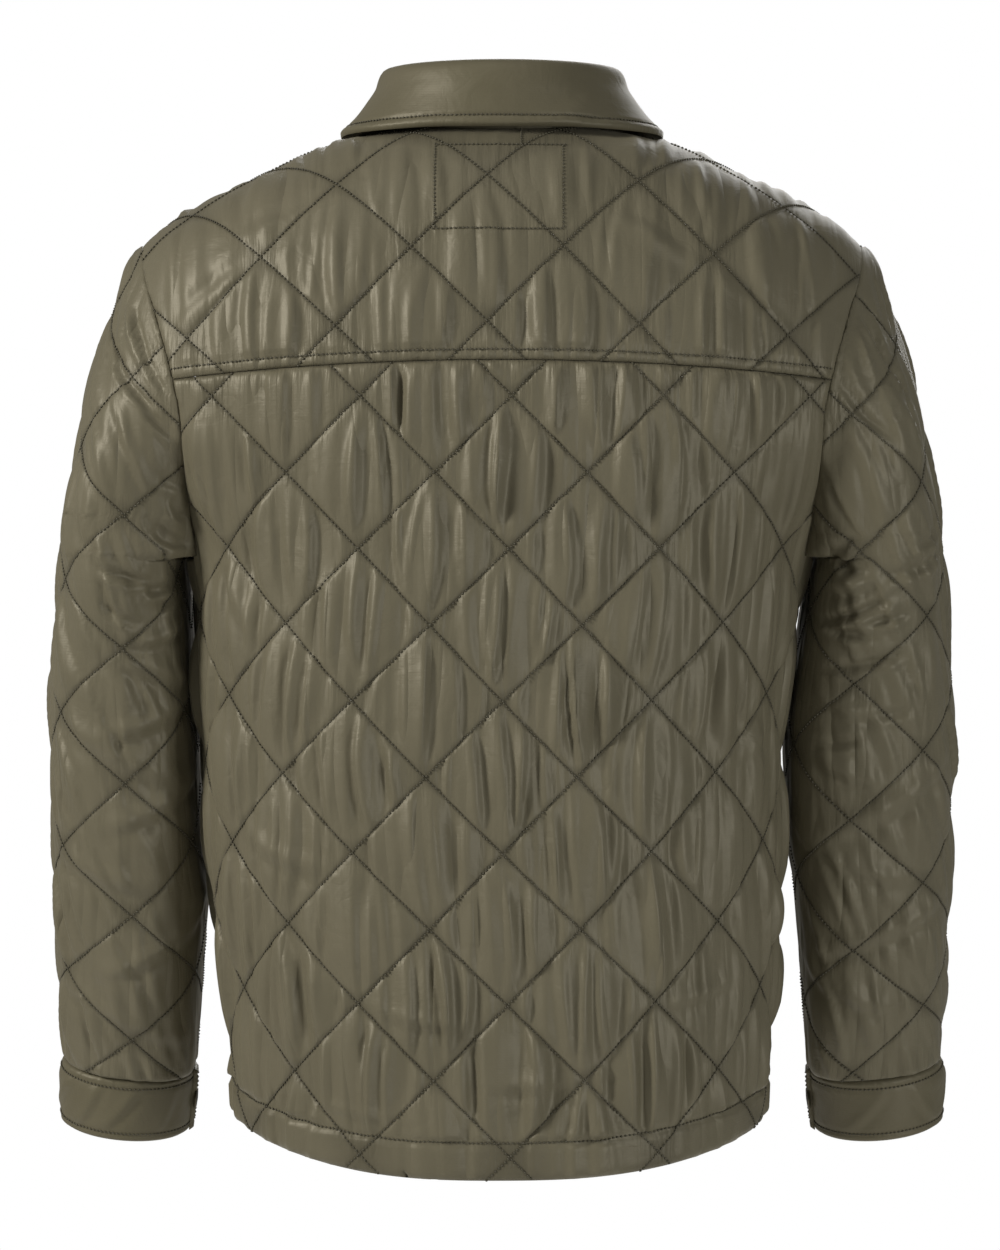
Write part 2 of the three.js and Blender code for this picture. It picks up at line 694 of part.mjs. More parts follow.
// Level of the body's surface under a place near the neck
function bodyDownAt(x, y) {
  let high = 0.01;
  let low = 160;
  for (let k = 0; k < 40; k++) {
    const middle = (high + low) / 2;
    const depth = y < 0 ? bodyBackDepth(middle) : bodyFrontDepth(middle);
    const power = bodySquare(middle);
    const outside = Math.abs(x / bodyHalfWidth(middle)) ** power + Math.abs(y / depth) ** power > 1;
    if (outside) high = middle;
    else low = middle;
  }
  return low;
}

// A place on the shoulders, lifted straight off the cloth
function shoulderPoint(x, y, lift) {
  const step = 2;
  const place = (dx, dy) => new THREE.Vector3(x + dx, y + dy, -bodyDownAt(x + dx, y + dy));
  const along = place(step, 0).sub(place(-step, 0));
  const normal = along.cross(place(0, step).sub(place(0, -step))).normalize();
  return place(0, 0).addScaledVector(normal, lift);
}

function collarTop(turn) {
  return lerp(COLLAR_TOP, COLLAR_FRONT_TOP, smoothstep(Math.abs(turn), 75, STAND_END_TURN));
}

function collarRing(turn, halfWidth, halfDepth, z) {
  const angle = degToRad(turn);
  const y = NECK_FORWARD - halfDepth * Math.cos(angle);
  return new THREE.Vector3(halfWidth * Math.sin(angle), y, z);
}

function collarStand() {
  const columns = 36;
  const rows = 3;
  const sunk = 3;
  const inset = PLAIN_WALL + 1.2;
  const grid = [];
  for (let r = 0; r <= rows; r++) {
    const row = [];
    for (let c = 0; c <= columns; c++) {
      const turn = lerp(-STAND_END_TURN, STAND_END_TURN, c / columns);
      const base = collarRing(turn, NECK_HALF_WIDTH - inset, NECK_HALF_DEPTH - inset, 0);
      const edge = collarRing(turn, NECK_HALF_WIDTH, NECK_HALF_DEPTH, 0);
      base.z = -bodyDownAt(edge.x, edge.y) - sunk;
      const top = collarRing(turn, NECK_HALF_WIDTH - 1.5, NECK_HALF_DEPTH - 6, collarTop(turn) - 0.5);
      row.push({ point: base.lerp(top, r / rows), i: 0, j: 0, wall: PLAIN_WALL });
    }
    grid.push(row);
  }
  return clothWall(grid, new THREE.Vector3(0, NECK_FORWARD, 0));
}

function collarFall() {
  const columns = 36;
  const grid = [[], [], [], [], [], [], []];
  for (let c = 0; c <= columns; c++) {
    const turn = lerp(-FALL_END_TURN, FALL_END_TURN, c / columns);
    const angle = degToRad(turn);
    const front = smoothstep(Math.abs(turn), 100, FALL_END_TURN);
    const lift = lerp(7.2, 11.5, smoothstep(Math.abs(turn), 95, 125));
    const x = FALL_REACH * Math.sin(angle);
    const y = NECK_FORWARD - lerp(FALL_BACK_REACH, FALL_BACK_REACH + 4, front) * Math.cos(angle);
    const edge = shoulderPoint(x, y, lift);
    const top = collarTop(turn);
    const crest = collarRing(turn, NECK_HALF_WIDTH - 2.5, NECK_HALF_DEPTH - 7, top + 1);
    const bend = collarRing(turn, NECK_HALF_WIDTH + 5, NECK_HALF_DEPTH + 0.5, top + 0.3);
    const side = collarRing(turn, NECK_HALF_WIDTH + 9, NECK_HALF_DEPTH + 5, lerp(top, edge.z, 0.25));
    const onCloth = (share) => {
      const place = side.clone().lerp(edge, share);
      const lying = shoulderPoint(place.x, place.y, lift);
      const hanging = place.z - 3 * Math.sin(Math.PI * share);
      return hanging > lying.z ? place.setZ(hanging) : lying;
    };
    const path = [crest, bend, onCloth(0), onCloth(0.25), onCloth(0.5), onCloth(0.75), edge];
    path.forEach((point, r) => grid[r].push({ point, i: 0, j: 0, wall: COLLAR_LEAF_WALL }));
  }
  return clothWall(grid, new THREE.Vector3(0, NECK_FORWARD, -40));
}

// The placket lies on the fronts, so it is made from their points, moved out
function placketPoint(across, down, lift) {
  const turn = bodyTurn(across, down, true);
  const point = bodyPoint(down, turn);
  const up = bodyPoint(down - 2, turn).sub(bodyPoint(down + 2, turn));
  const round = bodyPoint(down, turn + 0.02).sub(bodyPoint(down, turn - 0.02));
  return point.addScaledVector(up.cross(round).normalize(), -lift);
}

function frontPlacket() {
  const rows = 26;
  const grid = [];
  for (let r = 0; r <= rows; r++) {
    const down = lerp(PLACKET_TOP_DOWN, SIDE_HEM_DOWN - 1, r / rows);
    grid.push(
      [-1, 0, 1].map((share) => {
        const point = placketPoint(share * PLACKET_HALF_WIDTH, down, QUILT_WALL + 0.8);
        return { point, i: 0, j: 0, wall: PLAIN_WALL };
      }),
    );
  }
  return clothWall(grid, insideChest);
}

function snapAt(place, outward) {
  const profile = [
    [0, 0],
    [SNAP_RADIUS, 0],
    [SNAP_RADIUS, SNAP_HEIGHT * 0.6],
    [SNAP_RADIUS * 0.8, SNAP_HEIGHT],
    [0, SNAP_HEIGHT],
  ].map(([radius, height]) => new THREE.Vector2(radius, height));
  const geometry = new THREE.LatheGeometry(profile, 16);
  const spin = new THREE.Quaternion();
  spin.setFromUnitVectors(new THREE.Vector3(0, 1, 0), outward);
  geometry.applyQuaternion(spin);
  geometry.translate(...place.toArray());
  return geometryOf(solidOf(geometry));
}

const group = new THREE.Group();

function add(name, geometry, material) {
  const mesh = new THREE.Mesh(geometry, material);
  mesh.name = name;
  group.add(mesh);
}

add("back_yoke", geometryOf(backYoke()), cloth);
add("back_panel", geometryOf(backPanel()), cloth);
add("front_left", geometryOf(frontPanel(-1)), cloth);
add("front_right", geometryOf(frontPanel(1)), cloth);
add("sleeve_left", geometryOf(sleeve(-1)), cloth);
add("sleeve_right", geometryOf(sleeve(1)), cloth);
add("cuff_left", cuff(-1), trim);
add("cuff_right", cuff(1), trim);
add("collar_stand", collarStand(), trim);
add("collar_fall", collarFall(), trim);
add("front_placket", frontPlacket(), trim);

for (let k = 0; k < SNAP_COUNT; k++) {
  const down = SNAP_FIRST_DOWN + k * SNAP_STEP;
  const base = placketPoint(0, down, QUILT_WALL + 0.8 + PLAIN_WALL + 0.4);
  const outward = placketPoint(0, down, 40).sub(base).normalize();
  add(`snap_${k + 1}`, snapAt(base, outward), brass);
}

for (const [name, side] of [["cuff_snap_left", -1], ["cuff_snap_right", 1]]) {
  const share = 0.985;
  const lift = 2 * PLAIN_WALL + LAP_GAP + 0.4;
  const base = cuffPoint(share, CUFF_TALL / 2, side, lift);
  const outward = cuffPoint(share, CUFF_TALL / 2, side, lift + 30).sub(base).normalize();
  add(name, snapAt(base, outward), brass);
}

export default group;
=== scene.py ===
# %% [markdown]
# # A quilted jacket
# The jacket is a hollow shell of padded cloth that keeps the shape it has when it is worn. Every
# piece that a maker would cut is an object of its own: the yoke, the back, two fronts, two sleeves,
# two cuffs, the collar's stand and fall, and the placket. The rigid model is the frame, and each
# piece here is modelled over the solid that it stands for.

import math

import bmesh
import bpy
import numpy as np
from mathutils import Matrix, Vector
from mathutils.bvhtree import BVHTree


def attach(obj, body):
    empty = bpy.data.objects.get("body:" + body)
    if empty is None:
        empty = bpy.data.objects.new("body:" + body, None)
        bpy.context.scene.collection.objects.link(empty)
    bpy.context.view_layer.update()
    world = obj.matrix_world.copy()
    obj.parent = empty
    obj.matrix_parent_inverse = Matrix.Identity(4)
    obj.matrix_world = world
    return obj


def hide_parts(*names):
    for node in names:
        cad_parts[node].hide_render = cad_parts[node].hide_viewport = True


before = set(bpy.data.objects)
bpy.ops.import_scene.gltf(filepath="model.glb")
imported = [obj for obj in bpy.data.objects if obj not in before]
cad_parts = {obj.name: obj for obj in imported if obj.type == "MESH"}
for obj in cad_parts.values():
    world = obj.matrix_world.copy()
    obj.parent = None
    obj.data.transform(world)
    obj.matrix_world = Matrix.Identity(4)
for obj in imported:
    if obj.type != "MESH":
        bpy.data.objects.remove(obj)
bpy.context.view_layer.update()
MM = 0.001


def add_object(name, data):
    made = bpy.data.objects.new(name, data)
    bpy.context.scene.collection.objects.link(made)
    return made


def mesh_of(name, bm):
    mesh = bpy.data.meshes.new(name)
    bm.to_mesh(mesh)
    bm.free()
    return mesh

# %% [markdown]
# ## Camera, floor and light
# The photograph was taken from straight behind at the height of the shoulder blades, with one large
# soft light on the left. The jacket hangs in its worn form, so the floor lies a wearer's legs below
# it. The lights are wide sheets, because satin shows a small lamp as a hard streak.

# %% Camera
CAMERA_AWAY = 2.2
CAMERA_HEIGHT = -0.197
SENSOR = 36
AIM = Vector((-0.0014, 0.0, -0.338))
FRAME_TALL = 0.8625

camera_data = bpy.data.cameras.new("camera")
camera = add_object("camera", camera_data)
camera.location = (AIM.x, -CAMERA_AWAY, CAMERA_HEIGHT)
to_aim = AIM - camera.location
camera.rotation_euler = to_aim.to_track_quat("-Z", "Y").to_euler()
camera_data.sensor_width = SENSOR
camera_data.lens = SENSOR * to_aim.length / FRAME_TALL
camera_data.clip_end = 50
bpy.context.scene.camera = camera
print("lens", round(camera_data.lens, 1), "mm")


# %% Lights
LIT_MIDDLE = Vector((0, 0, -0.35))


def add_light(name, place, size, power, colour=(1, 1, 1)):
    data = bpy.data.lights.new(name, "AREA")
    data.shape = "RECTANGLE"
    data.size, data.size_y = size
    data.energy = power
    data.color = colour
    light = add_object(name, data)
    light.location = place
    light.rotation_euler = (LIT_MIDDLE - light.location).to_track_quat("-Z", "Y").to_euler()


add_light("key_light", (-2.6, -1.3, 0.95), (0.5, 1.2), 88, (1.0, 0.985, 0.97))
add_light("top_light", (-0.3, -1.1, 2.2), (1.4, 1.0), 6)
add_light("fill_light", (2.1, -2.4, -0.45), (0.8, 1.6), 38, (0.97, 0.98, 1.0))
add_light("front_light", (0.6, 2.6, 0.8), (2.0, 2.0), 40)
print("four lights, aimed at the middle of the back")

# %% The backdrop
# The camera sees white paper, while the jacket gets only a little light from it.
ROOM_LIGHT = 0.16
world = bpy.data.worlds.new("studio")
bpy.context.scene.world = world
bpy.context.scene.view_settings.view_transform = "Standard"
world.use_nodes = True
sky = world.node_tree.nodes["Background"]
sky.inputs["Color"].default_value = (1, 1, 1, 1)
rays = world.node_tree.nodes.new("ShaderNodeLightPath")
paper = world.node_tree.nodes.new("ShaderNodeMapRange")
paper.inputs["To Min"].default_value = ROOM_LIGHT
paper.inputs["To Max"].default_value = 1.0
world.node_tree.links.new(rays.outputs["Is Camera Ray"], paper.inputs["Value"])
world.node_tree.links.new(paper.outputs["Result"], sky.inputs["Strength"])
print("light from the room", ROOM_LIGHT)

# %% Floor
FLOOR_LEVEL = -1.4
bm = bmesh.new()
floor_place = Matrix.Translation((0, 0, FLOOR_LEVEL))
bmesh.ops.create_grid(bm, x_segments=8, y_segments=8, size=1.5, matrix=floor_place)
floor = add_object("floor", mesh_of("floor", bm))
print("floor", FLOOR_LEVEL, "m")

# %% [markdown]
# ## Materials
# The shell is a woven polyester satin. Its long floats give a soft, broad gloss across the folds,
# and its threads are too fine to see one by one, so the weave is drawn a little coarser than it
# is. The trim is the same satin without padding. The lining is a plain taffeta, and the snaps are
# brass with an antique finish.

# %% Helpers for materials
def linear(code):
    """A colour given as sRGB hex, as the linear values that a shader takes."""
    values = [int(code[k : k + 2], 16) / 255 for k in (0, 2, 4)]
    return [v / 12.92 if v <= 0.04045 else ((v + 0.055) / 1.055) ** 2.4 for v in values] + [1]


def add_node(tree, kind, settings=None, sockets=None, **more):
    """A node with its settings. Each socket gets a value, or the output that is linked into it."""
    node = tree.nodes.new(kind)
    for key, value in (settings or {}).items():
        setattr(node, key, value)
    for key, value in [*(sockets or {}).items(), *more.items()]:
        socket = node.inputs[key.replace("_", " ") if isinstance(key, str) else key]
        if isinstance(value, bpy.types.NodeSocket):
            tree.links.new(value, socket)
        else:
            socket.default_value = value
    return node


def new_material(name, **shader):
    material = bpy.data.materials.new(name)
    material.use_nodes = True
    bsdf = material.node_tree.nodes["Principled BSDF"]
    for key, value in shader.items():
        bsdf.inputs[key.replace("_", " ")].default_value = value
    return material, material.node_tree, bsdf


# %% Woven satin for the shell and the trim
THREAD_PITCH = 0.9  # mm. The real threads are about 0.15 mm apart, too fine for the picture.


def satin(name, light, dark, roughness, pucker_height, fold_height, groove=1.0):
    """Heights are in mm. groove is how light the cloth stays beside a stitch line, under painted
    shade.
    """
    material, tree, bsdf = new_material(
        name,
        Roughness=roughness,
        Specular_IOR_Level=0.5,
        Specular_Tint=linear("e2dac4"),
        Sheen_Weight=0.15,
        Sheen_Roughness=0.4,
        Sheen_Tint=linear("d8cfb4"),
    )
    cloth = add_node(tree, "ShaderNodeUVMap", {"uv_map": "cloth"}).outputs["UV"]
    # How loose the cloth is: low on a stitch line. It sets the painted groove shade and the depth
    # of the long folds.
    loose_and_shade, gathered = (
        add_node(tree, "ShaderNodeAttribute", {"attribute_name": mark}).outputs["Fac"]
        for mark in ("loose_and_shade", "pucker")
    )

    # The dye takes a little unevenly, and painted shade darkens the cloth beside each stitch line,
    # where its groove is shadowed.
    patchy = add_node(tree, "ShaderNodeTexNoise", Vector=cloth, Scale=18.0, Detail=3.0)
    tint = add_node(
        tree,
        "ShaderNodeMix",
        {"data_type": "RGBA"},
        {0: patchy.outputs["Fac"], 6: linear(dark), 7: linear(light)},
    )
    shade = add_node(tree, "ShaderNodeMapRange", Value=loose_and_shade, From_Max=0.34, To_Min=groove)
    shaded = add_node(
        tree,
        "ShaderNodeVectorMath",
        {"operation": "SCALE"},
        {0: tint.outputs[2], "Scale": shade.outputs["Result"]},
    )
    tree.links.new(shaded.outputs["Vector"], bsdf.inputs["Base Color"])

    # Patterns drawn out along the cloth are short puckers beside a seam and long loose folds.
    streaks, long_way = (
        add_node(tree, "ShaderNodeMapping", Vector=cloth, Scale=(1, share, 1)).outputs["Vector"]
        for share in (0.12, 0.13)
    )
    crumple, pucker, fold, slub = (
        add_node(tree, "ShaderNodeTexNoise", Vector=along, Scale=scale, **more).outputs["Fac"]
        for along, scale, more in (
            (cloth, 42.0, {"Detail": 3.0, "Roughness": 0.55, "Distortion": 0.5}),
            (streaks, 260.0, {"Detail": 2.0, "Roughness": 0.5}),
            (long_way, 48.0, {"Detail": 1.5, "Roughness": 0.4, "Distortion": 0.2}),
            (cloth, 900.0, {"Detail": 2.0}),
        )
    )
    weft = add_node(
        tree,
        "ShaderNodeTexWave",
        {"bands_direction": "Y"},
        Vector=cloth,
        Scale=1 / (THREAD_PITCH * MM * 2 * math.pi),
        Distortion=1.2,
        Detail=1.0,
    ).outputs["Fac"]

    def sum_of(operation, *values):
        return add_node(
            tree, "ShaderNodeMath", {"operation": operation}, dict(enumerate(values))
        ).outputs["Value"]

    crease, valley = (
        sum_of("ABSOLUTE", sum_of("SUBTRACT", noise, 0.5)) for noise in (crumple, fold)
    )
    normal = None
    for height, strength, deep in (
        (crease, 1.0, 1.0),
        (sum_of("MULTIPLY", valley, loose_and_shade), 1.0, fold_height),
        (sum_of("MULTIPLY", pucker, gathered), 1.0, pucker_height),
        (weft, 0.25, 0.06),
        (slub, 0.3, 0.1),
    ):
        below = {} if normal is None else {"Normal": normal}
        heights = {"Height": height, "Strength": strength, "Distance": deep * MM}
        bump = add_node(tree, "ShaderNodeBump", sockets=below | heights)
        normal = bump.outputs["Normal"]
    tree.links.new(normal, bsdf.inputs["Normal"])
    return material


# The fold and pucker heights of the padded shell are far above those of the flat trim.
# The shell is painted down to 0.62 of its colour beside its stitch lines as groove shade; the trim
# gets no painted shade.
shell_satin = satin("woven_satin_shell", "6b6552", "5f5a48", 0.46, 1.7, 13.0, 0.62)
trim_satin = satin("woven_satin_trim", "645e4c", "58533f", 0.48, 1.3, 2.0)
print("thread pitch as drawn", THREAD_PITCH, "mm")


# %% Lining, thread, snap metal and floor paint
def grainy(name, place, scale, detail, strength=None, deep=None, tints=None, **shader):
    """A material with one fine noise, for its bump and, between two tints, for its colour."""
    material, tree, bsdf = new_material(name, **shader)
    if place == "cloth":
        at = add_node(tree, "ShaderNodeUVMap", {"uv_map": place}).outputs["UV"]
    else:
        at = add_node(tree, "ShaderNodeTexCoord").outputs[place]
    grain = add_node(tree, "ShaderNodeTexNoise", Vector=at, Scale=scale, Detail=detail)
    grain = grain.outputs["Fac"]
    if strength:
        bump = add_node(tree, "ShaderNodeBump", Height=grain, Strength=strength, Distance=deep * MM)
        tree.links.new(bump.outputs["Normal"], bsdf.inputs["Normal"])
    if tints:
        spread = add_node(tree, "ShaderNodeTexNoise", Vector=at, Scale=tints[2], Detail=detail)
        ends = {0: spread.outputs["Fac"], 6: linear(tints[0]), 7: linear(tints[1])}
        tint = add_node(tree, "ShaderNodeMix", {"data_type": "RGBA"}, ends)
        tree.links.new(tint.outputs[2], bsdf.inputs["Base Color"])
    return material, tree, bsdf, grain


# Taffeta is a plain, tight weave, so the inside is even, with a dull gloss.
lining = grainy(
    "plain_taffeta_lining", "cloth", 700.0, 2.0, 0.3, 0.1,
    Base_Color=linear("3b382d"), Roughness=0.5,
)[0]
# Spun thread is hairy, which makes it duller than the satin. Its colour is uneven, and painted
# darker than the cloth for the shade in its groove and needle holes.
thread = grainy(
    "spun_polyester_thread_shade_darkened", "Object", 1600.0, 2.0, 0.4, 0.1,
    ("2f2b1f", "5b5642", 1600.0), Roughness=0.6,
)[0]
# The floor is rolled with matt paint, whose fine stipple keeps it from shining like plastic.
floor_paint = grainy(
    "rolled_matt_floor_paint", "Object", 350.0, 3.0, 0.3, 0.4,
    ("e9e8e6", "e2e1df", 2.5), Roughness=0.8,
)[0]
floor.data.materials.append(floor_paint)

# The finish of a snap is rubbed off in places, where the brass is smoother and shines more.
snap_metal, snap_tree, snap_shader, snap_wear = grainy(
    "antique_finished_brass", "Object", 420.0, 4.0, Base_Color=linear("5d5746"), Metallic=1.0
)
rubbed = add_node(snap_tree, "ShaderNodeMapRange", Value=snap_wear, To_Min=0.28, To_Max=0.5)
snap_tree.links.new(rubbed.outputs["Result"], snap_shader.inputs["Roughness"])
made = (shell_satin, trim_satin, lining, thread, snap_metal, floor_paint)
print("materials", [material.name for material in made])

# %% [markdown]
# ## The shape of the cloth
# The body and the sleeves are level sections, stacked from the neck down. Each section is a rounded
# box whose width and depth come from a table, with a smooth curve through each column. All of these
# are in millimetres, and describe the inner face of the cloth.

# %% Measures of the body and the quilting
QUILT_WALL = 3.0
PUFF = 4.6
TENT = 4.2
PLAIN_WALL = 2.5
HALF_GAP = 0.15
DIAMOND_WIDE = 98.0
DIAMOND_TALL = 99.0
SLEEVE_DIAMOND_TALL = 90.0
BACK_CROSSING = (6.0, 181.0)
YOKE_CROSSING = (-10.0, 25.0)
FRONT_SEAM_FORWARD = 15.0
UNDERARM_DOWN = 290.0
SHOULDER_REACH = 255.0
FRONT_LEVEL_DOWN = 200.0
SIDE_HEM_DOWN = 674.0
BACK_HEM_DROP = 18.0
HEM_TURN_UP = 25.0
HEM_SAMPLE_DOWN = 680.0
BODY_MIDDLE = (0, 0, -400)
NECK_RADIUS = 75.0
NECK_FORWARD = 10.0
PLACKET_HALF_WIDTH = 18.0

# down, half width, depth behind, depth in front, squareness, lean
BODY = [
    (0, 1, 1, 1, 2, 0), (1, 38, 30, 26, 2, 0), (5, 78, 57, 50, 2, 0), (16, 123, 80, 68, 2, 0),
    (30, 154, 93, 80, 2.05, 0), (58, 211, 108, 93, 2.05, 0), (82, 243, 116, 101, 2.1, 0),
    (123, 262, 124, 111, 2.2, 0), (165, 272, 128, 119, 2.3, 0), (200, 260, 130, 123, 2.3, 0),
    (237, 232, 132, 126, 2.3, -1), (290, 207, 134, 129, 2.3, -2), (356, 200, 136, 130, 2.3, -5),
    (413, 195, 137, 130, 2.3, -7), (480, 194, 139, 130, 2.3, -6), (535, 190, 140, 131, 2.3, -4),
    (604, 184, 142, 132, 2.3, -2), (700, 178, 144, 133, 2.3, -1),
]
# down, distance across
ARMHOLE = [
    (0, 244), (75, 243), (95, 239), (115, 233), (137, 226), (163, 218), (192, 212), (237, 210),
    (265, 208), (290, 203),
]
# down, outer edge, inner edge, half depth, forward
SLEEVE = [
    (60, 229, 200, 60, 0), (123, 262, 200, 80, 0), (177, 278, 200, 87, 0), (231, 288, 200, 84, 2),
    (290, 299, 200, 77, 6), (342, 303, 200, 71, 11), (383, 308, 200, 68, 15),
    (466, 309, 202, 61, 22), (540, 309, 211, 54, 31), (598, 308, 216, 48, 38),
    (650, 306, 221, 39, 45), (700, 305, 226, 37, 52),
]


# %% Smooth curves through the tables
def lerp(a, b, t):
    return a + (b - a) * t


def smoothstep(x, low, high):
    t = np.clip((np.asarray(x, float) - low) / (high - low), 0, 1)
    return t * t * (3 - 2 * t)


def curve_of(table, column):
    """A curve through one column of a table, which never swings past its rows."""
    at = np.array([row[0] for row in table], float)
    value = np.array([row[column] for row in table], float)
    slope = np.diff(value) / np.diff(at)
    before, after = slope[:-1], slope[1:]
    both = np.where(before * after > 0, before + after, 1)
    inner = np.where(before * after > 0, 2 * before * after / both, 0)
    tangent = np.concatenate([slope[:1], inner, slope[-1:]])

    def curve(down):
        place = np.clip(down, at[0], at[-1])
        k = np.clip(np.searchsorted(at, place, side="right") - 1, 0, len(at) - 2)
        span = at[k + 1] - at[k]
        t = (place - at[k]) / span
        swing = t * (1 - t) * span * ((1 - t) * tangent[k] - t * tangent[k + 1])
        return lerp(value[k], value[k + 1], t * t * (3 - 2 * t)) + swing

    return curve


half_width, depth_behind, depth_before, squareness, lean = (curve_of(BODY, k) for k in range(1, 6))
armhole_across = curve_of(ARMHOLE, 1)
sleeve_outer, sleeve_inner, sleeve_depth, sleeve_forward = (
    curve_of(SLEEVE, k) for k in range(1, 5)
)
print("half width at the chest", round(float(half_width(290.0)), 1), "mm")


# %% Points on the body
def body_point(down, turn):
    """Turn is 0 at the centre back, a quarter turn at the +X side, a half turn in front."""
    power = 2 / squareness(down)
    across, away = np.sin(turn), np.cos(turn)
    depth = np.where(away > 0, depth_behind(down), depth_before(down))
    x = lean(down) + half_width(down) * np.sign(across) * np.abs(across) ** power
    y = -depth * np.sign(away) * np.abs(away) ** power
    return np.stack([x, y, -down + 0 * x], axis=-1)


def side_of(x):
    return np.where(np.asarray(x) < 0, -1.0, 1.0)


def turn_at_x(x, down, front):
    share = np.clip(np.abs(x - lean(down)) / half_width(down), 0, 1)
    turn = np.arcsin(share ** (squareness(down) / 2))
    return side_of(x) * np.where(front, np.pi - turn, turn)


def look_up(table, rows, columns, row, column):
    """The value between the four nearest entries of a table with even rows and columns."""
    r = np.clip((row - rows[0]) / (rows[1] - rows[0]), 0, len(rows) - 1.0001)
    c = np.clip((column - columns[0]) / (columns[1] - columns[0]), 0, len(columns) - 1.0001)
    r0, c0 = r.astype(int), c.astype(int)
    upper = lerp(table[r0, c0], table[r0, c0 + 1], c - c0)
    lower = lerp(table[r0 + 1, c0], table[r0 + 1, c0 + 1], c - c0)
    return lerp(upper, lower, r - r0)


def halve(low, high, beyond, steps=30):
    """The place between two ends where beyond becomes true, found by halving."""
    for _ in range(steps):
        middle = (low + high) / 2
        past = beyond(middle)
        high, low = np.where(past, middle, high), np.where(past, low, middle)
    return low


def lengths_along(points):
    return np.concatenate([[0], np.cumsum(np.linalg.norm(np.diff(points, axis=0), axis=1))])


# %% Columns of cloth: straight from the shoulders, round the body lower down
GIRTH_DOWNS = np.arange(120, 705, 4.0)
GIRTH_LENGTHS = np.arange(0, 363, 2.0)


def girth_table(front):
    table = []
    for down in GIRTH_DOWNS:
        turn = np.linspace(0, 0.75 * np.pi, 300)
        points = body_point(np.full(300, down), np.pi - turn if front else turn)
        table.append(np.interp(GIRTH_LENGTHS, lengths_along(points), turn))
    return np.array(table)


girth_behind, girth_before = girth_table(False), girth_table(True)


def body_turn(column, down, front):
    straight = turn_at_x(np.clip(column, -SHOULDER_REACH, SHOULDER_REACH), down, front)
    reach = np.abs(column)
    behind = look_up(girth_behind, GIRTH_DOWNS, GIRTH_LENGTHS, down, reach)
    before = np.pi - look_up(girth_before, GIRTH_DOWNS, GIRTH_LENGTHS, down, reach)
    round_it = side_of(column) * np.where(front, before, behind)
    return lerp(straight, round_it, smoothstep(down, 130, UNDERARM_DOWN))


def yoke_seam_down(x):
    return 158 + 13 * (x / 225) ** 2


def hem_down(turn):
    return SIDE_HEM_DOWN + BACK_HEM_DROP * np.maximum(0, np.cos(turn)) ** 2


SHOULDER_DOWNS = np.linspace(0, 150, 1501)
SHOULDER_WIDTHS = half_width(SHOULDER_DOWNS)


def ridge_down(x):
    return np.interp(np.minimum(np.abs(x), SHOULDER_REACH), SHOULDER_WIDTHS, SHOULDER_DOWNS)


# %% [markdown]
# ## Cloth that climbs over the shoulders
# The yoke and the tops of the fronts go up and over the shoulders, where "down" hardly changes
# while the cloth runs on. So there a place is given by its column and by the length of cloth
# above a starting level. A table made once for each column turns that length into a level and a
# turn.

# %% A climbing cloth
CLIMB_COLUMNS = np.arange(0, 258, 2.0)
CLIMB_SHARES = np.linspace(0, 1, 101)


class ClimbingCloth:
    def __init__(self, start_of, front, end_of):
        path = np.linspace(1, -0.8, 361)
        self.front = front
        self.length, downs, turns = [], [], []
        for column in CLIMB_COLUMNS:
            ridge = ridge_down(column)
            down = ridge + (start_of(column) - ridge) * path**2
            turn = body_turn(np.full(len(path), column), down, (path < 0) != front)
            points = body_point(down, turn)
            arc = lengths_along(points)
            toward = -1 if front else 1
            length = np.interp(toward * end_of(column), toward * points[:, 1], arc)
            wanted = CLIMB_SHARES * length
            self.length.append(length)
            downs.append(np.interp(wanted, arc, down))
            turns.append(np.interp(wanted, arc, turn))
        self.length = np.array(self.length)
        self.downs, self.turns = np.array(downs), np.array(turns)

    def top(self, column):
        return np.interp(np.abs(column), CLIMB_COLUMNS, self.length)

    def at(self, column, climbed):
        share = np.clip(climbed / self.top(column), 0, 1)
        place = (CLIMB_COLUMNS, CLIMB_SHARES, np.abs(column), share)
        down = look_up(self.downs, *place)
        turn = look_up(self.turns, *place)
        return down, side_of(column) * turn

    def edge(self, climbed):
        """Column in which the armhole's edge lies, at each length climbed."""

        def beyond(column):
            down, turn = self.at(column, climbed)
            return body_point(down, turn)[..., 0] > armhole_across(down) - HALF_GAP

        return halve(np.full(climbed.shape, 120.0), np.full(climbed.shape, 256.0), beyond)


def yoke_end(x):
    inside = np.sqrt(max(NECK_RADIUS**2 - x * x, 0))
    return NECK_FORWARD - inside if inside > 0 else FRONT_SEAM_FORWARD - HALF_GAP


def front_end(x):
    inside = np.sqrt(max(NECK_RADIUS**2 - x * x, 0))
    return max(NECK_FORWARD + inside, FRONT_SEAM_FORWARD + HALF_GAP)


over_yoke = ClimbingCloth(lambda x: yoke_seam_down(x) - HALF_GAP, False, yoke_end)
over_front = ClimbingCloth(lambda x: FRONT_LEVEL_DOWN, True, front_end)
print("yoke's length of cloth at the neck", round(float(over_yoke.top(0.0)), 1), "mm")

# %% [markdown]
# ## Quilting
# Two layers of cloth with padding between them are sewn together in diamonds. The padding swells
# between the stitch lines, and because the cloth is pulled downwards each diamond gets a few long
# folds from top to bottom, each with a sharp valley beside a soft ridge. No two diamonds are
# alike, so the folds come from a table of random numbers with a fixed start.

# %% Height of the quilting
FOLDS = 5


def diamond_numbers(seed):
    return np.random.default_rng(seed).random((32, 32, FOLDS, 6))


def wrapped(n):
    return np.mod(np.floor(n).astype(int), 32)


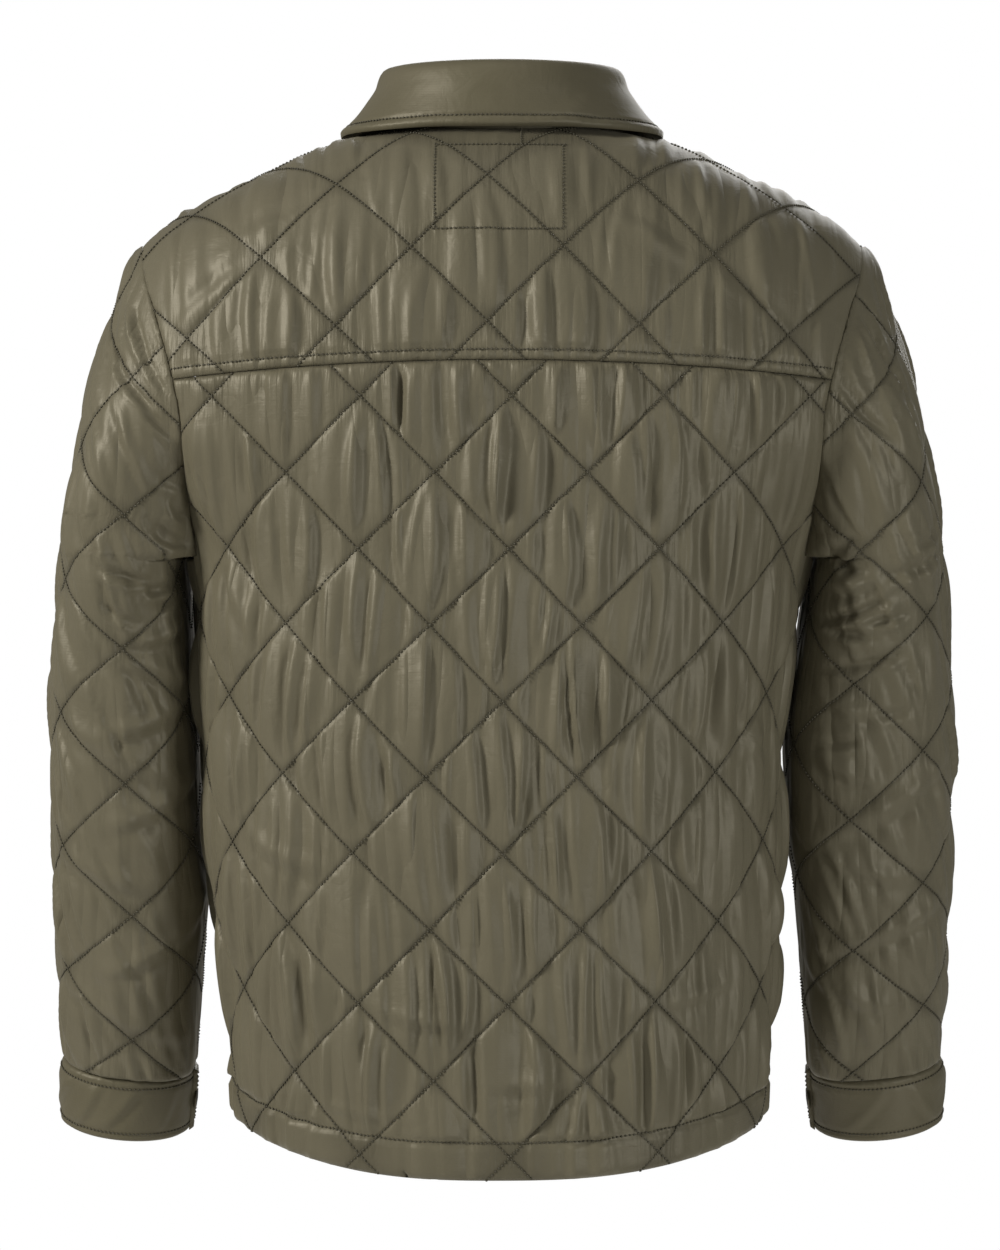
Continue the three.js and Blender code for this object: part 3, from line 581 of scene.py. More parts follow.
def quilt_relief(across, along, tall, numbers, fold_height, slant=0.0):
    """Height over a flat cloth in mm: nothing on a stitch line, most inside a diamond."""
    rising, falling = across / DIAMOND_WIDE + along / tall, across / DIAMOND_WIDE - along / tall
    a, b = rising - np.floor(rising), falling - np.floor(falling)
    puff = np.abs(np.sin(np.pi * a) * np.sin(np.pi * b)) ** 0.42
    level, upright = a + b - 1, a - b
    drawn = numbers[wrapped(rising), wrapped(falling)]
    crest = 0.4 * (drawn[..., 0, 5] - 0.5) + 0.15 * (drawn[..., 3, 5] - 0.5) * upright
    tent = np.sqrt((level - crest) ** 2 + 0.0012) - 0.035
    height = puff * (PUFF - TENT * tent * np.minimum(1, drawn[..., 1, 5] + 0.5))
    strength = fold_height * (0.7 + 0.6 * drawn[..., 2, 5])
    folds = np.zeros_like(puff)
    turned = level * math.cos(slant) - upright * math.sin(slant)
    run = upright * math.cos(slant) + level * math.sin(slant)
    for k in range(FOLDS):
        place, tilt, bend, width, depth = (drawn[..., k, n] for n in range(5))
        centre = -0.8 + 1.6 * (k + place) / FOLDS
        centre = centre + 0.22 * (tilt - 0.5) * run + 0.3 * (bend - 0.5) * (run**2 - 0.3)
        wide = 0.05 + 0.06 * width
        away = (turned - centre) / wide * np.where(bend > 0.4, 1, -1)
        valley = np.exp(-(away**2) * np.where(away > 0, 5.0, 0.45))
        ridge = 0.8 * np.exp(-(((away - 1.3) / 1.0) ** 2))
        folds += (0.4 + 0.5 * depth) * (ridge - valley)
    corner = smoothstep(np.abs(level) - 0.35 * np.abs(upright), 0.62, 0.82)
    folds += 0.3 * corner * np.sin(level * 95 + 9 * drawn[..., 4, 5])
    return puff, height + strength * folds * np.minimum(1, 1.3 * puff)


def stitch_gather(puff):
    """How much the stitches gather the cloth beside them."""
    return 0.6 * smoothstep(puff, 0.8, 0.2)


def crease_relief(across, along, creases):
    """Listed creases: across, along, angle, half length, half width, height."""
    total = np.zeros(np.shape(across))
    for x, y, angle, reach, wide, height in creases:
        c, s = math.cos(math.radians(angle)), math.sin(math.radians(angle))
        run = ((across - x) * c + (along - y) * s) / reach
        away = ((along - y) * c - (across - x) * s) / wide + 0.6 * run**2
        shape = np.exp(-(away**2)) - 0.55 * np.exp(-(((away - 1.6) / 0.8) ** 2))
        total += height * shape * np.exp(-(run**4))
    return total


def slow_waves(across, along, seed, height):
    """Unevenness far wider than a diamond, as of cloth that hangs."""
    drawn = np.random.default_rng(seed).random((7, 4))
    total = np.zeros(np.shape(across))
    for a, b, phase, share in drawn:
        x, y = 0.012 + 0.03 * a, 0.02 * (b - 0.5)
        total += (0.4 + share) * np.sin(x * across + y * along + 6.28 * phase)
    return height * total / 4


# %% [markdown]
# ## Sewing a panel
# A panel starts as a flat grid whose lines run with the quilting, so that every stitch line lies
# on edges of the mesh and shows as a clean groove. Points beyond a seam are drawn back to it and
# merged. The grid is then laid on the body, extruded so that the cloth has two faces and a rim,
# and the outer face is raised by the padding.

# %% A flat grid, halved along its stitch lines
FINE = 10  # steps of the grid in a quarter of a diamond
SEAM_JUMP = 60  # mm. A face wider than this on the flat cloth crosses a tube's seam.
MERGE = 0.12  # mm. Points drawn back to the same place on a seam become one.


def away_from_line(steps, period):
    """Steps to the nearest quilting line of one family."""
    return abs((steps + period / 2) % period - period / 2)


def flat_grid(base, keep, steps):
    """A grid of triangles through the base's points. steps says where its quilting lines run."""
    rows, columns = base.shape[:2]
    bm = bmesh.new()
    bmesh.ops.create_grid(bm, x_segments=columns - 1, y_segments=rows - 1, size=1)
    ident = bm.verts.layers.int.new("ident")
    flat_base = base.reshape(-1, 3)
    for vert in bm.verts:
        c = round((vert.co.x + 1) / 2 * (columns - 1))
        r = round((vert.co.y + 1) / 2 * (rows - 1))
        vert[ident] = r * columns + c
        vert.co = flat_base[vert[ident]]
    forward, backward, dropped = [], [], []
    for face in bm.faces:
        r, c = divmod(min(vert[ident] for vert in face.verts), columns)
        if keep is not None and not keep[r, c]:
            dropped.append(face)
        elif steps is None:
            forward.append(face)
        else:
            p, q, period = steps[0] + c, steps[1] + r, steps[2]
            rising, falling = away_from_line(p + q + 1, period), away_from_line(p - q, period)
            (forward if falling < rising else backward).append(face)
    for faces, wants_low in ((forward, True), (backward, False)):
        plain, turned = [], []
        for face in faces:
            low = min(vert[ident] for vert in face.verts)
            starts_low = face.verts[0][ident] == low or face.verts[2][ident] == low
            (plain if starts_low == wants_low else turned).append(face)
        bmesh.ops.triangulate(bm, faces=plain, quad_method="FIXED")
        bmesh.ops.triangulate(bm, faces=turned, quad_method="ALTERNATE")
    bmesh.ops.delete(bm, geom=[face for face in dropped if face.is_valid], context="FACES")
    bmesh.ops.remove_doubles(bm, verts=bm.verts, dist=MERGE)
    bmesh.ops.dissolve_degenerate(bm, dist=0.01, edges=bm.edges)
    bmesh.ops.triangulate(bm, faces=[f for f in bm.faces if len(f.verts) > 3])
    bm.normal_update()
    return bm, ident


print("grid steps of", round(DIAMOND_WIDE / 4 / FINE, 2), "mm on the back")


# %% A wall of cloth
shell_pieces = {}


def cloth_wall(
    name, base, uv, height, inside, keep=None, steps=None, pucker=None, inner=None, loose_and_shade=None,
    ends=None, shift=None,
):  # fmt: skip
    """base is rows x columns x 3 in mm, on the inner face. height is the wall at each point."""
    bm, ident = flat_grid(base, keep, steps)
    outward = sum(f.normal.dot(f.calc_center_median() - Vector(inside)) for f in bm.faces)
    if outward < 0:
        bmesh.ops.reverse_faces(bm, faces=bm.faces)
        bm.normal_update()
    outer, flat_height = {}, height.reshape(-1)
    for vert in bm.verts:
        outer[vert[ident]] = vert.co + vert.normal * float(flat_height[vert[ident]])
        if shift is not None:
            outer[vert[ident]] += Vector(shift.reshape(-1, 3)[vert[ident]])
    seen_faces = [[vert[ident] for vert in face.verts] for face in bm.faces]
    originals = list(bm.faces)
    made = bmesh.ops.extrude_face_region(bm, geom=originals, use_keep_orig=True)["geom"]
    for item in made:
        if isinstance(item, bmesh.types.BMVert):
            item.co = outer[item[ident]]
    if inner is not None:
        flat_inner = inner.reshape(-1)
        for vert in {v for f in originals for v in f.verts}:
            vert.co += vert.normal * float(flat_inner[vert[ident]])
    bmesh.ops.recalc_face_normals(bm, faces=bm.faces)
    inner_faces = set(originals)
    outer_faces = {item for item in made if isinstance(item, bmesh.types.BMFace)}
    for face in bm.faces:
        face.smooth = True
        face.material_index = 1 if face in inner_faces else 0
    for edge in bm.edges:
        linked = set(edge.link_faces)
        edge.smooth = not (linked & inner_faces and linked - inner_faces - outer_faces)
    bmesh.ops.scale(bm, vec=(MM, MM, MM), verts=bm.verts)
    mesh, uv = mesh_of(name, bm), uv.reshape(-1, 2)
    finish_cloth(mesh, uv, {"pucker": pucker, "loose_and_shade": loose_and_shade}, ends)
    flat_faces = [face for face in seen_faces if np.ptp(uv[face, 0]) < SEAM_JUMP]
    shell_pieces[name] = (outer, uv, flat_faces)
    print(name, len(mesh.vertices), "points,", len(mesh.polygons), "faces")
    return add_object(name, mesh)


# %% Finishing a piece of cloth
def finish_cloth(mesh, uv, marks, ends=None):
    """Gives each corner its place on the flat cloth, and marks where it is gathered and how loose
    it is; the satin paints shade where it is least loose.

    On a tube, ends holds the two places of each row's seam, and a corner on the seam takes the one
    that its face lies beside."""
    ids = np.zeros(len(mesh.vertices), int)
    mesh.attributes["ident"].data.foreach_get("value", ids)
    corners = np.zeros(len(mesh.loops), int)
    mesh.loops.foreach_get("vertex_index", corners)
    places = uv[ids[corners]]
    if ends is not None:
        low, high = (end.reshape(-1)[ids[corners]] for end in ends)
        totals = np.zeros(len(mesh.polygons), int)
        mesh.polygons.foreach_get("loop_total", totals)
        face_of = np.repeat(np.arange(len(totals)), totals)
        on_seam = np.minimum(np.abs(places[:, 0] - low), np.abs(places[:, 0] - high)) < 0.01
        count = np.bincount(face_of, ~on_seam, len(totals))
        total = np.bincount(face_of, places[:, 0] * ~on_seam, len(totals))
        beside = (total / np.maximum(count, 1))[face_of]
        nearer = np.where(np.abs(beside - low) < np.abs(beside - high), low, high)
        places[:, 0] = np.where(on_seam & (count[face_of] > 0), nearer, places[:, 0])
    layer = mesh.uv_layers.new(name="cloth")
    layer.data.foreach_set("uv", (places * MM).ravel())
    for name, values in marks.items():
        layer = mesh.attributes.new(name, "FLOAT", "POINT")
        if values is not None:
            layer.data.foreach_set("value", np.clip(values.reshape(-1)[ids], 0, 1))
    mesh.attributes.remove(mesh.attributes["ident"])


def declare(piece, node, materials):
    for material in materials:
        piece.data.materials.append(material)
    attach(piece, "root")
    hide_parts(node)


def edge_roll(away, reach, low=0.0):
    """Cloth thins in a round towards a seam."""
    t = np.clip(away / reach, 0, 1)
    return low + (1 - low) * np.sqrt(1 - (1 - t) ** 2)


# %% [markdown]
# ## The back
# The back hangs from the yoke seam. It meets the sleeves at the armholes as far down as the
# underarm, and the fronts at the side seams from there to the hem. The hem is turned up 25 mm,
# which presses the padding flat in a band.

# %% Edges of a hanging panel
def armhole_column(down, front, side):
    """Column in which the armhole's edge lies, at each level above the underarm."""

    def beyond(column):
        x = body_point(down, body_turn(side * column, down, front))[..., 0]
        return side * x > armhole_across(down) - HALF_GAP

    return halve(np.full(down.shape, 120.0), np.full(down.shape, 300.0), beyond)


def side_seam_column(down, front, side):
    """Column in which the side seam lies, at each level below the underarm."""
    edge = FRONT_SEAM_FORWARD + (HALF_GAP if front else -HALF_GAP)

    def beyond(column):
        y = body_point(down, body_turn(side * column, down, front))[..., 1]
        return y < edge if front else y > edge

    return halve(np.full(down.shape, 120.0), np.full(down.shape, 360.0), beyond)


def hanging_edges(down, front, side):
    arm = armhole_column(np.minimum(down, UNDERARM_DOWN), front, side)
    return np.where(down < UNDERARM_DOWN - 0.01, arm, side_seam_column(down, front, side))


def snap_row(down, level):
    """Moves the row nearest to a level onto it."""
    row = int(np.argmin(np.abs(down - level)))
    down[row] = level
    return row


# %% A grid for a hanging panel
def hanging_grid(front, column, level):
    """Draws a grid of columns and levels back to the seams at its sides."""
    arm_row = snap_row(level, UNDERARM_DOWN)
    edges = {side: hanging_edges(level, front, side) for side in (1, -1)}
    c, d = np.meshgrid(column, level)
    edge = np.where(c < 0, edges[-1][:, None], edges[1][:, None])
    outside = np.abs(c) >= edge
    from_side = np.maximum(edge - np.abs(c), 0)
    c = np.where(outside, side_of(c) * edge, c)
    keep = np.ones(c.shape, bool)
    keep[:arm_row, :-1] = ~(outside[:arm_row, :-1] & outside[:arm_row, 1:])
    return c, d, from_side, keep


def hem_relief(relief, above_hem):
    """The turned-up hem: a flat double band, pressed thin along its stitch line."""
    band = smoothstep(above_hem, HEM_TURN_UP + 3, HEM_TURN_UP - 3)
    groove = np.exp(-(((above_hem - HEM_TURN_UP) / 2.0) ** 2))
    return (relief * lerp(1, 0.4, band) + 1.8 * band * edge_roll(above_hem, 7)) * (1 - 0.9 * groove)


def thin_edges(relief, *distances):
    away = np.minimum.reduce(distances)
    return np.maximum(QUILT_WALL * edge_roll(away, 1.6, 0.6) + relief * edge_roll(away, 6), 0.7)


# %% The back panel
cell_wide, cell_tall = DIAMOND_WIDE / 4 / FINE, DIAMOND_TALL / 4 / FINE
p, q = np.arange(-14 * FINE, 13 * FINE + 1), np.arange(-2 * FINE, 21 * FINE + 1)
column, down, from_side, keep = hanging_grid(
    False, BACK_CROSSING[0] + p * cell_wide, BACK_CROSSING[1] + q * cell_tall
)
seam_level = yoke_seam_down(column) + HALF_GAP
hem_level = hem_down(body_turn(column, np.full(column.shape, HEM_SAMPLE_DOWN), False))
down = np.clip(down, seam_level, hem_level)
base = body_point(down, body_turn(column, down, False))
across, along = column - BACK_CROSSING[0], down - BACK_CROSSING[1]
below_seam, above_hem = down - seam_level, hem_level - down
fold_height = lerp(3.3, 4.3, smoothstep(down, 220, 420))
puff, relief = quilt_relief(across, along, DIAMOND_TALL, diamond_numbers(5), fold_height)
BACK_CREASES = [
    (-205, 60, 80, 60, 6, 2.4), (-190, 120, 65, 55, 6, 2.2), (120, 395, -12, 40, 5, 1.8),
    (-60, 405, 10, 35, 5, 1.6), (30, 445, -8, 40, 5, 1.5), (-150, 300, 20, 40, 6, 1.6),
    (160, 240, -25, 45, 6, 1.6), (-100, 468, 8, 36, 4, 1.3),
]
relief += crease_relief(across, along, BACK_CREASES) * puff
seam_ripple = np.sin(across * 0.8 + 1.4 * np.sin(across * 0.11)) * np.exp(-below_seam / 12)
relief *= edge_roll(below_seam, 14) * edge_roll(from_side, 10)
relief = hem_relief(relief, above_hem) + 0.7 * seam_ripple * edge_roll(below_seam, 5)
end_gather = 0.8 * np.exp(-above_hem / 30) * smoothstep(from_side, 110, 20)
base[..., 1] -= slow_waves(column, down, 11, 2.2) * smoothstep(down, 300, 420) * smoothstep(
    from_side, 0, 60
)
back_panel = cloth_wall(
    "back_panel_cloth",
    base,
    np.stack([across, -along], axis=-1),
    thin_edges(relief, below_seam, above_hem, from_side),
    BODY_MIDDLE,
    keep,
    (p[0], q[0], 4 * FINE),
    np.exp(-below_seam / 14) + end_gather + stitch_gather(puff),
    -0.12 * relief * puff,
    # How loose the cloth is; it also paints shade beside the stitch lines, on the hem band and
    # under the yoke seam.
    puff * lerp(1, 0.4, smoothstep(above_hem, 30, 22)) * edge_roll(below_seam, 10),
)
declare(back_panel, "back_panel", [shell_satin, lining])

# %% [markdown]
# ## The yoke
# The yoke covers the shoulders and ends in front of them, where the fronts begin. It carries a
# plain stitched rectangle under the collar. Its lower edge is folded under and topstitched 6.5 mm
# above the seam, which gathers the cloth there in fine puckers.

# %% The yoke
p, q = np.arange(-11 * FINE, 12 * FINE + 1), np.arange(-FINE - 1, 9 * FINE + 1)
column, climbed = np.meshgrid(
    YOKE_CROSSING[0] + p * cell_wide, np.maximum(YOKE_CROSSING[1] + q * cell_tall, 0)
)
arm_edge = over_yoke.edge(climbed[:, 0])[:, None]
from_side = np.maximum(arm_edge - np.abs(column), 0)
column = np.clip(column, -arm_edge, arm_edge)
from_top = np.maximum(over_yoke.top(column) - climbed, 0)
climbed = np.minimum(climbed, over_yoke.top(column))
down, turn = over_yoke.at(column, climbed)
base = body_point(down, turn)
across, along = column - YOKE_CROSSING[0], climbed - YOKE_CROSSING[1]
puff, relief = quilt_relief(across, along, DIAMOND_TALL, diamond_numbers(23), 2.6)
from_neck = np.hypot(base[..., 0], base[..., 1] - NECK_FORWARD)
under_collar = lerp(0.3, 1, smoothstep(from_neck, 92, 118))
under_collar = np.where(down < 60, under_collar, 1)
TOPSTITCH = 6.5
relief *= under_collar * edge_roll(climbed, 16)
relief *= 1 - 0.75 * np.exp(-(((climbed - TOPSTITCH) / 2) ** 2))
relief *= lerp(0.1, 1, smoothstep(from_side, 0, 26)) * lerp(0.6, 1, smoothstep(down, 50, 130))
seam_ripple = np.sin(across * 0.78 + 1.3 * np.sin(across * 0.13)) * np.exp(-(climbed / 12) ** 2)
relief += 0.55 * seam_ripple * edge_roll(climbed, 4) + 0.3 * smoothstep(climbed, 8, 3)
YOKE_CREASES = [
    (-170, 30, 35, 45, 6, 2.2), (-140, 70, 25, 40, 6, 1.8), (120, 50, -30, 45, 6, 1.8),
    (170, 20, -40, 45, 6, 2.0),
]
relief += crease_relief(across, along, YOKE_CREASES) * puff
BOX_LEFT, BOX_RIGHT, BOX_TOP, BOX_BOTTOM = -43.5, 39.5, 19.0, 74.0
beside = np.abs(column - (BOX_LEFT + BOX_RIGHT) / 2) - (BOX_RIGHT - BOX_LEFT) / 2
above = np.abs(down - (BOX_TOP + BOX_BOTTOM) / 2) - (BOX_BOTTOM - BOX_TOP) / 2
near_box = np.where(base[..., 1] < 0, np.abs(np.maximum(beside, above)), 99)
near_corner = np.where(base[..., 1] < 0, np.hypot(beside, above), 99)
relief -= 0.9 * np.exp(-((near_box / 2.2) ** 2)) * under_collar
relief -= 1.1 * np.exp(-((near_corner / 6) ** 2)) * under_collar
yoke = cloth_wall(
    "back_yoke_cloth",
    base,
    np.stack([across, along], axis=-1),
    np.maximum(
        thin_edges(relief, climbed, from_top, from_side),
        3.6 * smoothstep(down, 130, 110) * smoothstep(climbed, 0, 20),
    ),
    BODY_MIDDLE,
    None,
    (p[0], q[0], 4 * FINE),
    np.exp(-climbed / 12) + stitch_gather(puff) + 0.6 * np.exp(-near_box / 5),
    -0.12 * relief * puff,
    # How loose the cloth is; it also paints shade beside the stitch lines and under the collar.
    0.8 * puff * under_collar,
)
declare(yoke, "back_yoke", [shell_satin, lining])

# %% [markdown]
# ## The fronts
# Each front is one panel from the top of the shoulder to the hem. The photograph doesn't show them,
# so they are finished as plainly as such a jacket allows, with the same quilting and hem.

# %% The fronts
FRONT_FINE = 6
cell_wide, cell_tall = DIAMOND_WIDE / 4 / FRONT_FINE, DIAMOND_TALL / 4 / FRONT_FINE
for name, side in (("front_left", -1), ("front_right", 1)):
    p, q = np.arange(0, 13 * FRONT_FINE + 1), np.arange(-9 * FRONT_FINE, 20 * FRONT_FINE + 1)
    level = FRONT_LEVEL_DOWN + q * cell_tall
    column, down, from_side, keep = hanging_grid(
        True, side * np.maximum(p * cell_wide, HALF_GAP), np.maximum(level, FRONT_LEVEL_DOWN)
    )
    climbs = q <= 0
    climbed = np.where(climbs, -q * cell_tall, 0)[:, None] + 0 * column
    wide = np.maximum(p * cell_wide, HALF_GAP)[None, :] + 0 * column
    arm_edge = over_front.edge(climbed[:, 0])[:, None] + 0 * column
    upper = climbs[:, None] & (climbed > 0)
    from_side = np.where(upper, np.maximum(arm_edge - wide, 0), from_side)
    column = np.where(upper, side * np.minimum(wide, arm_edge), column)
    from_top = np.where(upper, np.maximum(over_front.top(column) - climbed, 0), 50)
    climbed = np.minimum(climbed, over_front.top(column))
    hem_level = hem_down(body_turn(column, np.full(column.shape, HEM_SAMPLE_DOWN), True))
    down = np.minimum(down, hem_level)
    over_down, over_turn = over_front.at(column, climbed)
    turn = np.where(upper, over_turn, body_turn(column, down, True))
    above_hem = np.where(upper, 400, hem_level - down)
    down = np.where(upper, over_down, down)
    keep |= upper
    base = body_point(down, turn)
    across = np.abs(column)
    along = np.where(upper, -climbed, down - FRONT_LEVEL_DOWN)
    puff, relief = quilt_relief(across, along, DIAMOND_TALL, diamond_numbers(40 + side), 2.1)
    from_neck = np.hypot(base[..., 0], base[..., 1] - NECK_FORWARD)
    under_collar = 1 - 0.75 * smoothstep(from_neck, 130, 108) * smoothstep(down, 122, 104)
    relief = hem_relief(relief, above_hem) * under_collar
    relief *= edge_roll(np.maximum(across - PLACKET_HALF_WIDTH - 1, 0), 14)
    relief *= np.where(upper, edge_roll(from_side, 22) * lerp(0.6, 1, smoothstep(down, 50, 130)), 1)
    front = cloth_wall(
        name + "_cloth",
        base,
        np.stack([column, -along], axis=-1),
        thin_edges(relief, above_hem, from_side, from_top),
        BODY_MIDDLE,
        keep,
        (p[0], q[0], 4 * FRONT_FINE),
        np.exp(-above_hem / 20) * smoothstep(from_side, 90, 20) + stitch_gather(puff),
        -0.12 * relief * puff,
        # How loose the cloth is; it also paints shade beside the stitch lines.
        0.8 * puff,
    )
    declare(front, name, [shell_satin, lining])

# %% [markdown]
# ## The sleeves
# Above the underarm a sleeve goes on from the body's own surface at the armhole seam and swells
# out from there. Below the underarm it is a closed tube that hangs a little forward. The sections
# of the two are blended, and the quilting is laid out from the middle of the back of the arm.

# %% Level sections of a sleeve
ARM_CLEARANCE = 13.0
WEB_DOWN = 285.8
CUFF_TOP_DOWN = 650.0
SLEEVE_QUILTING = {1: (-29.0, 238.0), -1: (7.0, 259.0)}


def round_off(share, power):
    return np.maximum(0, 1 - np.abs(share) ** power) ** (1 / power)


def free_inner(down, side):
    """Edge of the tube nearest the body, clear of the body's side."""
    beside = half_width(down) + side * lean(down) + ARM_CLEARANCE
    return max(float(sleeve_inner(down)), float(beside))


def sleeve_middle(down, side):
    return (free_inner(max(down, UNDERARM_DOWN), side) + float(sleeve_outer(down))) / 2


def cap_half(down, side, body_depth, own, x, seam, outer):
    """Depth of the cap at x: the body's own curve high up, a tube's lower down."""
    middle, body_middle = sleeve_middle(down, side), side * float(lean(down))
    power = float(squareness(down))
    at_seam = body_depth * round_off((seam - body_middle) / float(half_width(down)), power)
    reach = outer - body_middle
    like_body = at_seam / round_off((seam - body_middle) / reach, power) * round_off(
        (x - body_middle) / reach, power
    )
    full = max(own, 1.01 * at_seam)
    share = (1 - (at_seam / full) ** 3) ** (1 / 3)
    near = round_off(share * (middle - x) / (middle - seam), 3)
    far = round_off((x - middle) / (outer - middle), 2.2)
    like_tube = full * np.where(x < middle, near, far)
    return lerp(like_body, like_tube, smoothstep(down, 120, 235))


def sleeve_section(down, side):
    """Points on the +X side, from the armhole or inner seam, round the back, to it again."""
    outer, forward, own = (float(f(down)) for f in (sleeve_outer, sleeve_forward, sleeve_depth))
    middle = sleeve_middle(down, side)
    if down < WEB_DOWN + 0.01:
        outer = max(outer, float(half_width(down)))
        seam = float(armhole_across(down)) + HALF_GAP
        u = np.linspace(0, 1, 90)
        x = seam + (outer - seam) * (1 - (1 - u) ** 2.5)
        behind = cap_half(down, side, float(depth_behind(down)), own - forward, x, seam, outer)
        before = cap_half(down, side, float(depth_before(down)), own + forward, x, seam, outer)
        xs = np.concatenate([x, x[-2::-1]])
        ys = np.concatenate([-behind, before[-2::-1]])
        if down > WEB_DOWN - 0.01:
            bridge = np.linspace(0, 1, 12)
            xs = np.concatenate([seam + 0 * bridge, xs, seam + 0 * bridge])
            ys = np.concatenate([-behind[0] * bridge, ys, before[0] * bridge[::-1]])
        return np.stack([xs, ys, np.full(len(xs), -down)], axis=-1)
    free = free_inner(down, side)
    inner = lerp(219.0, free, float(smoothstep(down, WEB_DOWN, WEB_DOWN + 16)))
    turn = np.pi / 2 - 2 * np.pi * np.arange(201) / 200
    toward = np.sin(turn)
    x = middle - toward * np.where(toward > 0, middle - inner, outer - middle)
    share = np.abs(x - middle) / np.where(toward > 0, middle - inner, outer - middle)
    depth = own * np.where(toward > 0, round_off(share, 3), round_off(share, 2.2))
    y = -np.sign(np.cos(turn)) * depth
    lean_forward = 0.14 * float(smoothstep(down, 320, 600))
    lean_out = 0.1 * float(smoothstep(down, 500, 650))
    return np.stack([x, forward + y, -down + lean_forward * y + lean_out * (x - middle)], axis=-1)


# %% Sleeve pieces
SLEEVE_CREASES = {
    -1: [
        (-10, -104, -60, 34, 3.2, -4.0), (-20, -102, -65, 22, 3.0, -3.4),
        (16, -106, -58, 10, 3.0, -2.2), (1, -84, -43, 21, 3.0, -3.4),
        (-24, -57, -40, 16, 3.2, -3.4), (-29, -21, -22, 10, 3.2, -2.4),
        (-34, -3, -50, 9, 3.2, -3.0), (-31, 17, -30, 12, 4.5, -6.0), (-3, 42, -19, 16, 3.2, -3.6),
        (-27, 51, 7, 14, 3.4, -4.0), (-34, 60, 22, 10, 3.2, -3.4), (0, 69, -32, 13, 3.2, -2.8),
        (-26, 82, 14, 22, 5, 3.2), (-20, 104, -20, 40, 6, 3.2), (-30, 134, 22, 42, 6, 3.0),
        (0, 162, -28, 50, 7, 2.6), (-30, 192, 25, 42, 6, 2.6), (20, 240, -20, 50, 7, 2.2),
        (-25, 290, 30, 45, 6, 2.4), (10, 342, -25, 45, 6, 2.0), (150, 120, 20, 60, 9, 2.6),
        (200, 220, -30, 60, 9, 2.6),
    ],
    1: [
        (-20, -82, 58, 34, 3.2, -3.0), (-45, -50, 50, 26, 3.2, -3.2), (-63, 44, -20, 12, 3.6, -5.0),
        (-60, 56, 35, 12, 3.6, -5.0), (-55, 68, -10, 16, 5, 4.0), (-52, 88, -20, 25, 3.4, -4.2),
        (-57, 101, 12, 18, 3.4, -4.0), (-44, 122, -12, 23, 3.4, -4.0),
        (-29, 92, -14, 12, 3.0, -2.6), (-13, 57, -22, 21, 4, -2.6), (0, 38, -27, 13, 3.6, -2.2),
        (-24, 155, -5, 12, 3.2, -2.4), (-56, 150, 15, 24, 5, 3.0), (-57, 174, 0, 12, 3.2, -2.4),
        (-58, 190, 25, 34, 6, 2.8), (-20, 212, -30, 50, 7, 2.6), (-55, 252, 22, 45, 6, 2.6),
        (-30, 302, -22, 50, 6, 2.4), (-60, 342, 25, 40, 6, 2.2), (120, 140, -20, 60, 9, 2.6),
        (170, 240, 30, 60, 9, 2.6),
    ],
}
SLEEVE_FINE = 11
cell_wide, cell_tall = DIAMOND_WIDE / 4 / SLEEVE_FINE, SLEEVE_DIAMOND_TALL / 4 / SLEEVE_FINE
